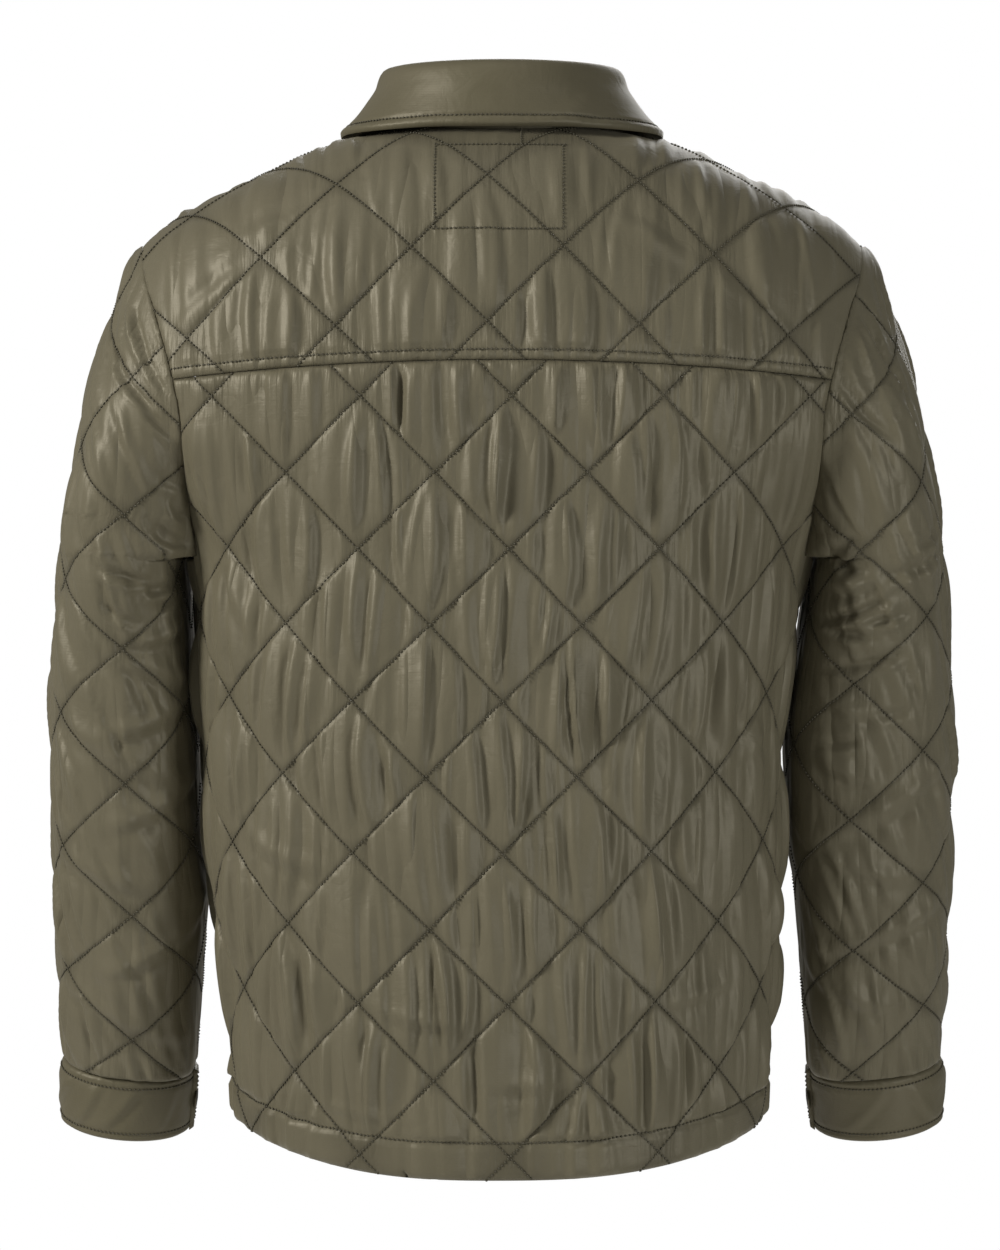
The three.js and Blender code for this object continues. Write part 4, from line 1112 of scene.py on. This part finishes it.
for name, side in (("sleeve_left", -1), ("sleeve_right", 1)):
    start, crossing = SLEEVE_QUILTING[side]
    first = math.ceil((82 - crossing) / cell_tall)
    last = math.ceil((CUFF_TOP_DOWN - crossing) / cell_tall)
    p, q = np.arange(-7 * SLEEVE_FINE, 17 * SLEEVE_FINE + 1), np.arange(first, last + 1)
    level = crossing + q * cell_tall
    level[-1] = CUFF_TOP_DOWN
    web_row = snap_row(level, WEB_DOWN)
    rows, lengths, outside = [], [], []
    for down in level:
        section = sleeve_section(float(down), side)
        arc = lengths_along(section)
        at_middle = arc[int(np.argmax(section[:, 0] > sleeve_middle(float(down), side)))]
        wanted = at_middle - start + p * cell_wide
        held = np.clip(wanted, 0, arc[-1])
        rows.append(np.stack([np.interp(held, arc, section[:, k]) for k in range(3)], axis=-1))
        lengths.append(np.stack([held - at_middle + start, held, arc[-1] - held], axis=-1))
        outside.append((wanted < 0) | (wanted > arc[-1]))
    base, lengths, outside = np.array(rows), np.array(lengths), np.array(outside)
    base[..., 0] *= side
    down = level[:, None] + 0 * base[..., 0]
    across, along = lengths[..., 0], down - crossing
    from_seam = np.minimum(lengths[..., 1], lengths[..., 2])
    above_cuff = CUFF_TOP_DOWN - down
    seam_ends = [side * (across - lengths[..., 1]), side * (across + lengths[..., 2])]
    keep = np.ones(across.shape, bool)
    keep[:web_row, :-1] = ~(outside[:web_row, :-1] & outside[:web_row, 1:])
    puff, relief = quilt_relief(
        across, along, SLEEVE_DIAMOND_TALL, diamond_numbers(70 + side), 2.9, 0.3 * side
    )
    relief *= lerp(0.62, 0.8, smoothstep(np.abs(across - 40), 90, 40))
    creases = crease_relief(across, along, SLEEVE_CREASES[side]) * lerp(0.6, 1, puff) * 1.15
    toward_body = smoothstep(
        (sleeve_middle(400.0, side) - side * base[..., 0]) / 45, 0.5, 0.95
    ) * smoothstep(down, 270, 290)
    relief = relief * lerp(1, 0.3, toward_body) + creases * lerp(1, 0.6, toward_body)
    relief *= np.where(down < WEB_DOWN, smoothstep(from_seam, -2, 20), 1)
    relief += 2.6 * smoothstep(down, 112, 84)
    near = np.where(down < WEB_DOWN, from_seam, 30 + 0 * from_seam)
    thickness = thin_edges(relief, near, np.maximum(above_cuff, 0.0))
    sleeve = cloth_wall(
        name + "_cloth",
        base,
        np.stack([side * across, -along], axis=-1),
        np.maximum(thickness, lerp(0.7, 3.6, smoothstep(down, 105, 90))),
        (side * 255, 15, -450),
        keep,
        (p[0], q[0], 4 * SLEEVE_FINE),
        np.exp(-above_cuff / 12) + 0.6 * np.exp(-near / 10) + stitch_gather(puff),
        -0.1 * relief * puff,
        # How loose the cloth is; it also paints shade beside the stitch lines.
        0.8 * puff,
        seam_ends,
        smoothstep(down, 106, 86)[..., None] * (-2.6 * side, 0, 1.6),
    )
    declare(sleeve, name, [shell_satin, lining])

# %% [markdown]
# ## The cuffs
# A cuff is a plain band that goes a little more than once round the wrist, so that its end laps
# over and is held with a snap. It is stitched along both edges and down the lap. Without padding
# the cloth lies flat, apart from a few soft slanting creases.

# %% Places on a cuff
CUFF_TALL = 45.0
CUFF_GAP = 0.9
LAP_GAP = 0.4
CUFF_START_TURN = 100.0
CUFF_WHOLE_TURN = 376.0
SNAP_TURN_SHARE = 0.985


def cuff_point(share, tall, side, lift):
    down = CUFF_TOP_DOWN + CUFF_GAP + tall
    beside = half_width(down) + side * lean(down) + ARM_CLEARANCE
    inner, outer = np.maximum(sleeve_inner(down), beside), sleeve_outer(down)
    turn = np.radians(CUFF_START_TURN - CUFF_WHOLE_TURN * share)
    outer = outer + 1 + 5 * smoothstep(tall, -6, 14)
    x = -((outer - inner) / 2 + lift) * np.sin(turn)
    y = -(sleeve_depth(down) + lift) * np.cos(turn)
    middle = (inner + outer) / 2
    up = 0.14 * y + 0.1 * x - down
    return np.stack([side * (middle + x), sleeve_forward(down) + y, up], axis=-1)


CUFF_STITCH = 6  # mm from an edge of the cuff to its stitching
GROOVE_WIDE = 1.3  # mm


def stitch_groove(away):
    return np.exp(-((away / GROOVE_WIDE) ** 2))


# %% Cuff pieces
CUFF_CREASES = {
    -1: [
        (70, 20, 55, 22, 4, 1.3), (95, 24, 60, 22, 4, 1.5),
        (120, 20, 50, 20, 4, 1.2), (40, 26, 65, 18, 4, 0.9),
    ],
    1: [(60, 22, -50, 22, 4, 1.0), (100, 22, 55, 22, 4, 1.1), (130, 22, -60, 18, 4, 0.9)],
}
cuff_girths = {}
for name, side in (("cuff_left", -1), ("cuff_right", 1)):
    share, tall = np.meshgrid(np.linspace(0, 1, 161), np.linspace(0, CUFF_TALL, 26))
    lift = (PLAIN_WALL + LAP_GAP) * smoothstep(share, 0.76, 0.94)
    base = cuff_point(share, tall, side, lift)
    round_it = lengths_along(base[13])[None, :] + 0 * tall
    girth = round_it[0, -1]
    cuff_girths[side] = float(girth)
    from_ends = np.minimum(round_it, girth - round_it)
    from_edges = np.minimum(tall, CUFF_TALL - tall)
    relief = crease_relief(round_it, tall, CUFF_CREASES[side]) * smoothstep(from_edges, 3, 12)
    relief += 0.35 * np.sin(round_it * 0.9) * np.exp(-tall / 5)
    relief += 0.5 - 0.8 * stitch_groove(from_edges - CUFF_STITCH)
    relief -= 0.7 * stitch_groove(girth - round_it - CUFF_STITCH)
    roll = edge_roll(np.minimum(from_edges, from_ends), 2.2, 0.25)
    cuff = cloth_wall(
        name + "_cloth",
        base,
        np.stack([side * round_it, -tall], axis=-1),
        np.maximum(PLAIN_WALL * roll + relief * edge_roll(from_edges, 4), 0.6),
        tuple(cuff_point(0.1, 22.0, side, 0) / 2 + cuff_point(0.6, 22.0, side, 0) / 2),
        pucker=0.5 * np.exp(-np.minimum(tall, CUFF_TALL - tall) / 7),
    )
    declare(cuff, name, [trim_satin, trim_satin])

# %% [markdown]
# ## The collar
# The collar has a stand inside and a fall that is folded over it. The fall hangs from the fold and
# comes to rest on the shoulders, so its points are found on the cloth below and lifted straight off
# it. Its lower edge and ends are topstitched about 7 mm in.

# %% Places on the shoulders and round the neck
COLLAR_TOP = 39.0
COLLAR_FRONT_TOP = -24.0
STAND_END_TURN = 174.0
FALL_END_TURN = 160.0
FALL_REACH = 108.0
FALL_BACK_REACH = 82.0
FALL_SIDE_REACH = 98.0
COLLAR_LEAF_WALL = 3.2


def body_down_at(x, y):
    def outside(down):
        depth = np.where(y < 0, depth_behind(down), depth_before(down))
        power = squareness(down)
        return np.abs(x / half_width(down)) ** power + np.abs(y / depth) ** power > 1

    return halve(np.full(np.shape(x), 160.0), np.full(np.shape(x), 0.01), outside, 40)


def shoulder_point(x, y, lift):
    def place(dx, dy):
        return np.stack([x + dx, y + dy, -body_down_at(x + dx, y + dy)], axis=-1)

    normal = np.cross(place(2, 0) - place(-2, 0), place(0, 2) - place(0, -2))
    normal /= np.linalg.norm(normal, axis=-1, keepdims=True)
    return place(0, 0) + normal * np.expand_dims(lift, -1)


def collar_top(turn):
    return lerp(COLLAR_TOP - 2, COLLAR_FRONT_TOP, smoothstep(np.abs(turn), 75, STAND_END_TURN))


def collar_ring(turn, half_wide, half_deep, z):
    angle = np.radians(turn)
    x, y = half_wide * np.sin(angle), NECK_FORWARD - half_deep * np.cos(angle)
    return np.stack([x, y, z + 0 * x], axis=-1)


def drawn_through(rows, count):
    """Smooth curves through rows of points, as a grid of count rows."""
    points = np.concatenate([2 * rows[:1] - rows[1:2], rows, 2 * rows[-1:] - rows[-2:-1]])
    at = np.linspace(0, len(rows) - 1, count)
    k = np.minimum(at.astype(int), len(rows) - 2)
    t = (at - k)[:, None, None]
    a, b, c, d = (points[k + n] for n in range(4))
    return b + 0.5 * t * (c - a + t * (2 * a - 5 * b + 4 * c - d + t * (3 * (b - c) + d - a)))


# %% The collar's fall
turn = np.linspace(-FALL_END_TURN, FALL_END_TURN, 201)
angle = np.radians(turn)
to_front = smoothstep(np.abs(turn), 100, FALL_END_TURN)
lift = lerp(8.5, 7.2, smoothstep(np.abs(turn), 20, 80)) + 4.3 * smoothstep(np.abs(turn), 95, 125)
edge_x = FALL_REACH * np.sin(angle)
reach = lerp(FALL_BACK_REACH, FALL_SIDE_REACH, smoothstep(np.abs(turn), 20, 95)) + 4 * to_front
edge_y = NECK_FORWARD - reach * np.cos(angle)
edge = shoulder_point(edge_x, edge_y, lift)
top = collar_top(turn)
crest = collar_ring(turn, NECK_RADIUS - 2.5, NECK_RADIUS - 7, top + 1)
bend = collar_ring(turn, NECK_RADIUS + 5, NECK_RADIUS + 0.5, top + 0.3)
hang_from = collar_ring(turn, NECK_RADIUS + 9, NECK_RADIUS + 5, lerp(top, edge[:, 2], 0.25))


def hanging_or_lying(share):
    place = lerp(hang_from, edge, share)
    lying = shoulder_point(place[:, 0], place[:, 1], lift)
    hanging = place[:, 2] - 3 * math.sin(math.pi * share)
    hung = np.stack([place[:, 0], place[:, 1], hanging], axis=-1)
    return np.where((hanging > lying[:, 2])[:, None], hung, lying)


path = np.array([crest, bend, *(hanging_or_lying(k / 4) for k in range(4)), edge])
base = drawn_through(path, 37)
fallen = np.array([lengths_along(base[:, k]) for k in range(len(turn))]).T
round_it = lengths_along(base[24])[None, :] + 0 * fallen
above_edge = fallen[-1:] - fallen
from_ends = np.minimum(round_it, round_it[:, -1:] - round_it)
from_border = np.minimum(above_edge, from_ends)
COLLAR_STITCH = 7.2
fall_seams = [
    [
        (round_it[0, k], COLLAR_STITCH - fallen[-1, k])
        for k in range(len(turn))
        if from_ends[0, k] > COLLAR_STITCH
    ]
]
for beyond in (COLLAR_STITCH, round_it[0, -1] - COLLAR_STITCH):
    k = int(np.argmax(round_it[0] > beyond))
    reached = np.linspace(-4, COLLAR_STITCH - fallen[-1, k], 12)
    fall_seams.append([(round_it[0, k], v) for v in reached])
FALL_CREASES = [(80, 40, 20, 30, 6, 0.7), (330, 45, -25, 35, 7, 0.8), (230, 42, 5, 60, 8, 0.4)]
relief = 0.5 - 1.0 * stitch_groove(from_border - COLLAR_STITCH)
relief += crease_relief(round_it, fallen, FALL_CREASES)
near_border = np.exp(-(((from_border - 5) / 4) ** 2))
relief += 0.2 * np.sin(round_it * 0.85 + np.sin(round_it * 0.2)) * near_border
fall = cloth_wall(
    "collar_fall_cloth",
    base,
    np.stack([round_it, -fallen], axis=-1),
    np.maximum(
        COLLAR_LEAF_WALL * edge_roll(from_border, 3, 0.3) + relief * edge_roll(from_border, 3),
        0.8,
    ),
    (0, NECK_FORWARD, -40),
    pucker=0.45 * np.exp(-from_border / 6),
)
declare(fall, "collar_fall", [trim_satin, trim_satin])

# %% The collar's stand
turn = np.linspace(-STAND_END_TURN, STAND_END_TURN, 161)
inset = PLAIN_WALL + 1.2
foot = collar_ring(turn, NECK_RADIUS - inset, NECK_RADIUS - inset, 0)
rim = collar_ring(turn, NECK_RADIUS, NECK_RADIUS, 0)
foot[:, 2] = -body_down_at(rim[:, 0], rim[:, 1]) - 3
head = collar_ring(turn, NECK_RADIUS - 1.5, NECK_RADIUS - 6, collar_top(turn) - 0.5)
base = lerp(foot[None], head[None], np.linspace(0, 1, 15)[:, None, None])
risen = np.array([lengths_along(base[:, k]) for k in range(len(turn))]).T
round_it = lengths_along(base[7])[None, :] + 0 * risen
from_border = np.minimum(
    np.minimum(risen, risen[-1:] - risen),
    np.minimum(round_it, round_it[:, -1:] - round_it),
)
stand = cloth_wall(
    "collar_stand_cloth",
    base,
    np.stack([round_it, risen], axis=-1),
    PLAIN_WALL * edge_roll(from_border, 2, 0.3),
    (0, NECK_FORWARD, 0),
    pucker=0.3 * np.exp(-from_border / 6),
)
declare(stand, "collar_stand", [trim_satin, trim_satin])

# %% [markdown]
# ## The placket and the snaps
# The placket is a strip that lies on the fronts, so it is made from their points, moved out. Each
# snap is turned like a coin: a domed cap with a rolled rim and a small ring round its middle.

# %% The placket
PLACKET_TOP_DOWN = 66.0


def placket_point(across, down, lift):
    turn = body_turn(across, down, True)
    up = body_point(down - 2, turn) - body_point(down + 2, turn)
    round_it = body_point(down, turn + 0.02) - body_point(down, turn - 0.02)
    normal = np.cross(up, round_it)
    normal /= np.linalg.norm(normal, axis=-1, keepdims=True)
    return body_point(down, turn) - normal * lift


across, down = np.meshgrid(
    np.linspace(-PLACKET_HALF_WIDTH, PLACKET_HALF_WIDTH, 19),
    np.linspace(PLACKET_TOP_DOWN, SIDE_HEM_DOWN - 1, 240),
)
base = placket_point(across, down, QUILT_WALL + 0.8)
from_border = np.minimum(
    PLACKET_HALF_WIDTH - np.abs(across),
    np.minimum(down - PLACKET_TOP_DOWN, SIDE_HEM_DOWN - 1 - down),
)
relief = 0.4 - 0.7 * stitch_groove(from_border - 5)
relief += 0.1 * np.sin(down * 0.31 + 2 * np.sin(down * 0.05))
placket = cloth_wall(
    "front_placket_cloth",
    base,
    np.stack([across, -down], axis=-1),
    np.maximum(
        PLAIN_WALL * edge_roll(from_border, 2, 0.3) + relief * edge_roll(from_border, 3), 0.6
    ),
    (0, 0, -350),
    pucker=0.4 * np.exp(-from_border / 5),
)
declare(placket, "front_placket", [trim_satin, trim_satin])

# %% The snaps
SNAP_PROFILE = [
    (7.0, 0.0), (7.5, 0.5), (7.4, 1.3), (6.9, 1.8), (6.2, 1.75), (5.8, 1.5), (5.0, 1.75),
    (3.6, 2.2), (3.1, 2.5), (2.5, 2.4), (1.4, 2.6), (0.0, 2.6),
]


def turned_snap(name, place, outward, tall=1.0):
    bm = bmesh.new()
    line = [bm.verts.new((r, 0, h * tall)) for r, h in SNAP_PROFILE]
    edges = [bm.edges.new(pair) for pair in zip(line, line[1:])]
    bmesh.ops.spin(
        bm,
        geom=line + edges,
        axis=(0, 0, 1),
        cent=(0, 0, 0),
        angle=2 * math.pi,
        steps=36,
        use_merge=True,
    )
    bmesh.ops.remove_doubles(bm, verts=bm.verts, dist=0.001)
    rim = [edge for edge in bm.edges if edge.is_boundary]
    bmesh.ops.holes_fill(bm, edges=rim)
    bmesh.ops.recalc_face_normals(bm, faces=bm.faces)
    spin = Vector((0, 0, 1)).rotation_difference(Vector(outward)).to_matrix()
    bmesh.ops.rotate(bm, verts=bm.verts, cent=(0, 0, 0), matrix=spin)
    bmesh.ops.translate(bm, verts=bm.verts, vec=Vector(place))
    bmesh.ops.scale(bm, verts=bm.verts, vec=(MM, MM, MM))
    for face in bm.faces:
        face.smooth = True
    mesh = mesh_of(name, bm)
    mesh.set_sharp_from_angle(angle=math.radians(50))
    return add_object(name, mesh)


for k in range(6):
    down = 84.0 + 112 * k
    foot = placket_point(0.0, down, QUILT_WALL + 0.8 + PLAIN_WALL + 0.4)
    outward = placket_point(0.0, down, 40.0) - foot
    snap = turned_snap(f"snap_cap_{k + 1}", foot, outward)
    declare(snap, f"snap_{k + 1}", [snap_metal])
for name, side in (("left", -1), ("right", 1)):
    lift = 2 * PLAIN_WALL + LAP_GAP - 0.1
    foot = cuff_point(SNAP_TURN_SHARE, CUFF_TALL / 2, side, lift)
    outward = cuff_point(SNAP_TURN_SHARE, CUFF_TALL / 2, side, lift + 30) - foot
    snap = turned_snap(f"cuff_snap_cap_{name}", foot, outward, 0.55)
    declare(snap, f"cuff_snap_{name}", [snap_metal])

# %% [markdown]
# ## Stitches
# The quilting is held by stitches 2.6 mm long. Each is a small spindle of thread that lies in its
# groove. A stitch line is drawn on the flat cloth, and each of its points is looked up on the
# finished surface, so the stitches follow every fold. They are spaced by their real length.

# %% Finding a place of the flat cloth on the finished one
class FinishedCloth:
    """Finds where a place on the flat cloth lies on the outer face."""

    def __init__(self, name):
        outer, uv, faces = shell_pieces[name]
        used = sorted(outer)
        order = {ident: n for n, ident in enumerate(used)}
        self.flat = [(uv[k][0], uv[k][1], 0.0) for k in used]
        self.round = [outer[k] for k in used]
        self.faces = [[order[k] for k in face] for face in faces]
        self.tree = BVHTree.FromPolygons(self.flat, self.faces, all_triangles=True)

    def at(self, u, v):
        hit, _, index, away = self.tree.find_nearest((u, v, 0.0))
        if hit is None or away > 0.6:
            return None
        a, b, c = (self.flat[k] for k in self.faces[index])
        area = (b[0] - a[0]) * (c[1] - a[1]) - (c[0] - a[0]) * (b[1] - a[1])
        if abs(area) < 1e-9:
            return None
        s = ((b[0] - hit.x) * (c[1] - hit.y) - (c[0] - hit.x) * (b[1] - hit.y)) / area
        t = ((c[0] - hit.x) * (a[1] - hit.y) - (a[0] - hit.x) * (c[1] - hit.y)) / area
        pa, pb, pc = (self.round[k] for k in self.faces[index])
        normal = (pb - pa).cross(pc - pa)
        return pa * s + pb * t + pc * (1 - s - t), normal.normalized()


cloths = {name: FinishedCloth(name) for name in shell_pieces}
print(len(cloths), "cloths to sew")

# %% One stitch
STITCH_LONG = 2.6
STITCH_PITCH = 2.9
THREAD_HALF = 0.8
PROUD = 0.6  # how far a stitch's middle stands above the cloth, in halves of its thickness


def spindle(long, half):
    """A stitch lying along X: pointed ends and a six-sided middle."""
    bm = bmesh.new()
    lying = Matrix.Rotation(math.radians(90), 3, "Y")
    bmesh.ops.create_circle(bm, segments=6, radius=half)
    bmesh.ops.rotate(bm, verts=bm.verts, cent=(0, 0, 0), matrix=lying)
    ring = list(bm.verts)
    for end in (-0.5, 0.5):
        tip = bm.verts.new((end * long, 0, 0))
        for a, b in zip(ring, ring[1:] + ring[:1]):
            bm.faces.new((a, b, tip))
    bmesh.ops.recalc_face_normals(bm, faces=bm.faces)
    bm.verts.index_update()
    points = np.array([v.co for v in bm.verts])
    faces = [[v.index for v in f.verts] for f in bm.faces]
    bm.free()
    return points, faces


STITCH_POINTS, STITCH_FACES = spindle(STITCH_LONG, THREAD_HALF)
print("a stitch has", len(STITCH_FACES), "faces")

# %% A run of stitches
STEP = 0.7  # mm between the places that are looked up along a line
JUMP = 6  # mm. A longer gap between two of them breaks the run.
sewn_through = {name: [] for name in shell_pieces}


def sew(name, piece, lines, long=STITCH_LONG, pitch=STITCH_PITCH):
    """Sews along each line, a list of places on the flat cloth in mm, and keeps the stitches."""
    cloth = cloths[piece + "_cloth"]
    shape = STITCH_POINTS * (long / STITCH_LONG, 1, 1)
    points, faces = [], []
    for line in lines:
        run, start, waiting = None, None, 0.0
        for (u0, v0), (u1, v1) in zip(line, line[1:]):
            count = max(1, int(math.hypot(u1 - u0, v1 - v0) / STEP))
            for k in range(count):
                found = cloth.at(lerp(u0, u1, k / count), lerp(v0, v1, k / count))
                if found is None or run is None or (found[0] - run[0]).length > JUMP:
                    run, start, waiting = found, found, 0.0
                    continue
                waiting += (found[0] - run[0]).length
                if waiting >= pitch:
                    along = (found[0] - start[0]).normalized()
                    up = (found[1] + start[1]).normalized()
                    across = up.cross(along).normalized()
                    up = along.cross(across)
                    middle = (found[0] + start[0]) / 2 + up * THREAD_HALF * PROUD
                    turned = np.array([along, across, up])
                    faces += [[n + len(points) for n in face] for face in STITCH_FACES]
                    points += list((shape @ turned + np.array(middle)) * MM)
                    waiting -= pitch
                    start = found
                if waiting < STEP:
                    start = found
                run = found
    mesh = bpy.data.meshes.new(name)
    mesh.from_pydata(points, [], faces)
    mesh.shade_smooth()
    mesh.materials.append(thread)
    stitches = add_object(name, mesh)
    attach(stitches, "root")
    sewn_through[piece + "_cloth"].append(stitches)
    print(name, len(points) // len(STITCH_POINTS), "stitches")


def diamond_lines(reach, tall, up_from, up_to):
    """Both families of quilting lines, as places across and along from a crossing."""
    lines = []
    for n in range(-16, 17):
        for way in (1, -1):
            line = []
            for v in np.arange(up_from, up_to, 6.0):
                u = DIAMOND_WIDE * (n - way * v / tall)
                if abs(u) < reach:
                    line.append((u, v))
            if len(line) > 1:
                lines.append(line)
    return lines


# %% Quilting stitches
def turned_down(lines, side=1):
    """The same lines on a piece whose cloth runs down from the crossing."""
    return [[(side * u, -v) for u, v in line] for line in lines]


back_lines = diamond_lines(340, DIAMOND_TALL, -40, 530)
front_lines = diamond_lines(340, DIAMOND_TALL, -260, 500)
sleeve_lines = diamond_lines(420, SLEEVE_DIAMOND_TALL, -180, 420)
sew("back_quilting_stitches", "back_panel", turned_down(back_lines))
sew("yoke_quilting_stitches", "back_yoke", diamond_lines(270, DIAMOND_TALL, -30, 240))
for name in ("front_left", "front_right"):
    sew(name + "_quilting_stitches", name, turned_down(front_lines), pitch=4.2, long=3.2)
for name, side in (("sleeve_left", -1), ("sleeve_right", 1)):
    sew(name + "_quilting_stitches", name, turned_down(sleeve_lines, side))

# %% [markdown]
# ## Topstitching
# The seams that a wearer sees are stitched a second time on top: above the yoke seam, along the
# hem, round the collar, the cuffs and the placket. The yoke also carries a plain stitched
# rectangle.

# %% Topstitching
def climbed_at(column, down):
    """Length of yoke above its seam at a column and a level."""
    k = int(round(abs(column) / 2))
    return float(np.interp(-down, -over_yoke.downs[k], CLIMB_SHARES * over_yoke.length[k]))


def hem_line(front, crossing_down, crossing_across=0.0):
    columns = np.arange(-335, 336, 5.0)
    levels = hem_down(body_turn(columns, np.full(columns.shape, HEM_SAMPLE_DOWN), front))
    stitched = levels - HEM_TURN_UP
    return [(c - crossing_across, crossing_down - d) for c, d in zip(columns, stitched)]


def box_place(x, down):
    return x - YOKE_CROSSING[0], climbed_at(x, down) - YOKE_CROSSING[1]


yoke_line = [(side * 260, TOPSTITCH - YOKE_CROSSING[1]) for side in (-1, 1)]
sew("yoke_topstitching", "back_yoke", [yoke_line])
BOX_MARK = 12.4  # the short line of stitches from the rectangle up to the collar
box_corners = [
    (BOX_LEFT, BOX_TOP), (BOX_RIGHT, BOX_TOP), (BOX_RIGHT, BOX_BOTTOM), (BOX_LEFT, BOX_BOTTOM),
    (BOX_LEFT, BOX_TOP),
]  # fmt: skip
box_runs = list(zip(box_corners, box_corners[1:])) + [((BOX_MARK, 4.0), (BOX_MARK, BOX_TOP))]
box_lines = [
    [box_place(lerp(x0, x1, t), lerp(d0, d1, t)) for t in np.linspace(0, 1.05, 12)]
    for (x0, d0), (x1, d1) in box_runs
]
sew("yoke_box_stitching", "back_yoke", box_lines)
sew("back_hem_stitching", "back_panel", [hem_line(False, BACK_CROSSING[1], BACK_CROSSING[0])])
for name in ("front_left", "front_right"):
    sew(name + "_hem_stitching", name, [hem_line(True, FRONT_LEVEL_DOWN)])
sew("collar_topstitching", "collar_fall", fall_seams)
placket_lines = [[(u, -PLACKET_TOP_DOWN - 4), (u, 4 - SIDE_HEM_DOWN)] for u in (-13, 13)]
sew("placket_topstitching", "front_placket", placket_lines)
for name, side in (("cuff_left", -1), ("cuff_right", 1)):
    far, low = side * (cuff_girths[side] - CUFF_STITCH), CUFF_TALL - CUFF_STITCH
    cuff_lines = [[(side * 4, -v), (far, -v)] for v in (CUFF_STITCH, low)]
    cuff_lines.append([(far, -CUFF_STITCH), (far, -low)])
    sew(name + "_topstitching", name, cuff_lines)

# %% [markdown]
# ## What was cut
# The flat size that a maker would cut for each piece of cloth is taken from its place on the flat
# cloth.

# %% Sheets
for name, (outer, uv, faces) in shell_pieces.items():
    flat = np.array([uv[k] for k in outer])
    wide, long = (float(side) * MM for side in flat.max(axis=0) - flat.min(axis=0))
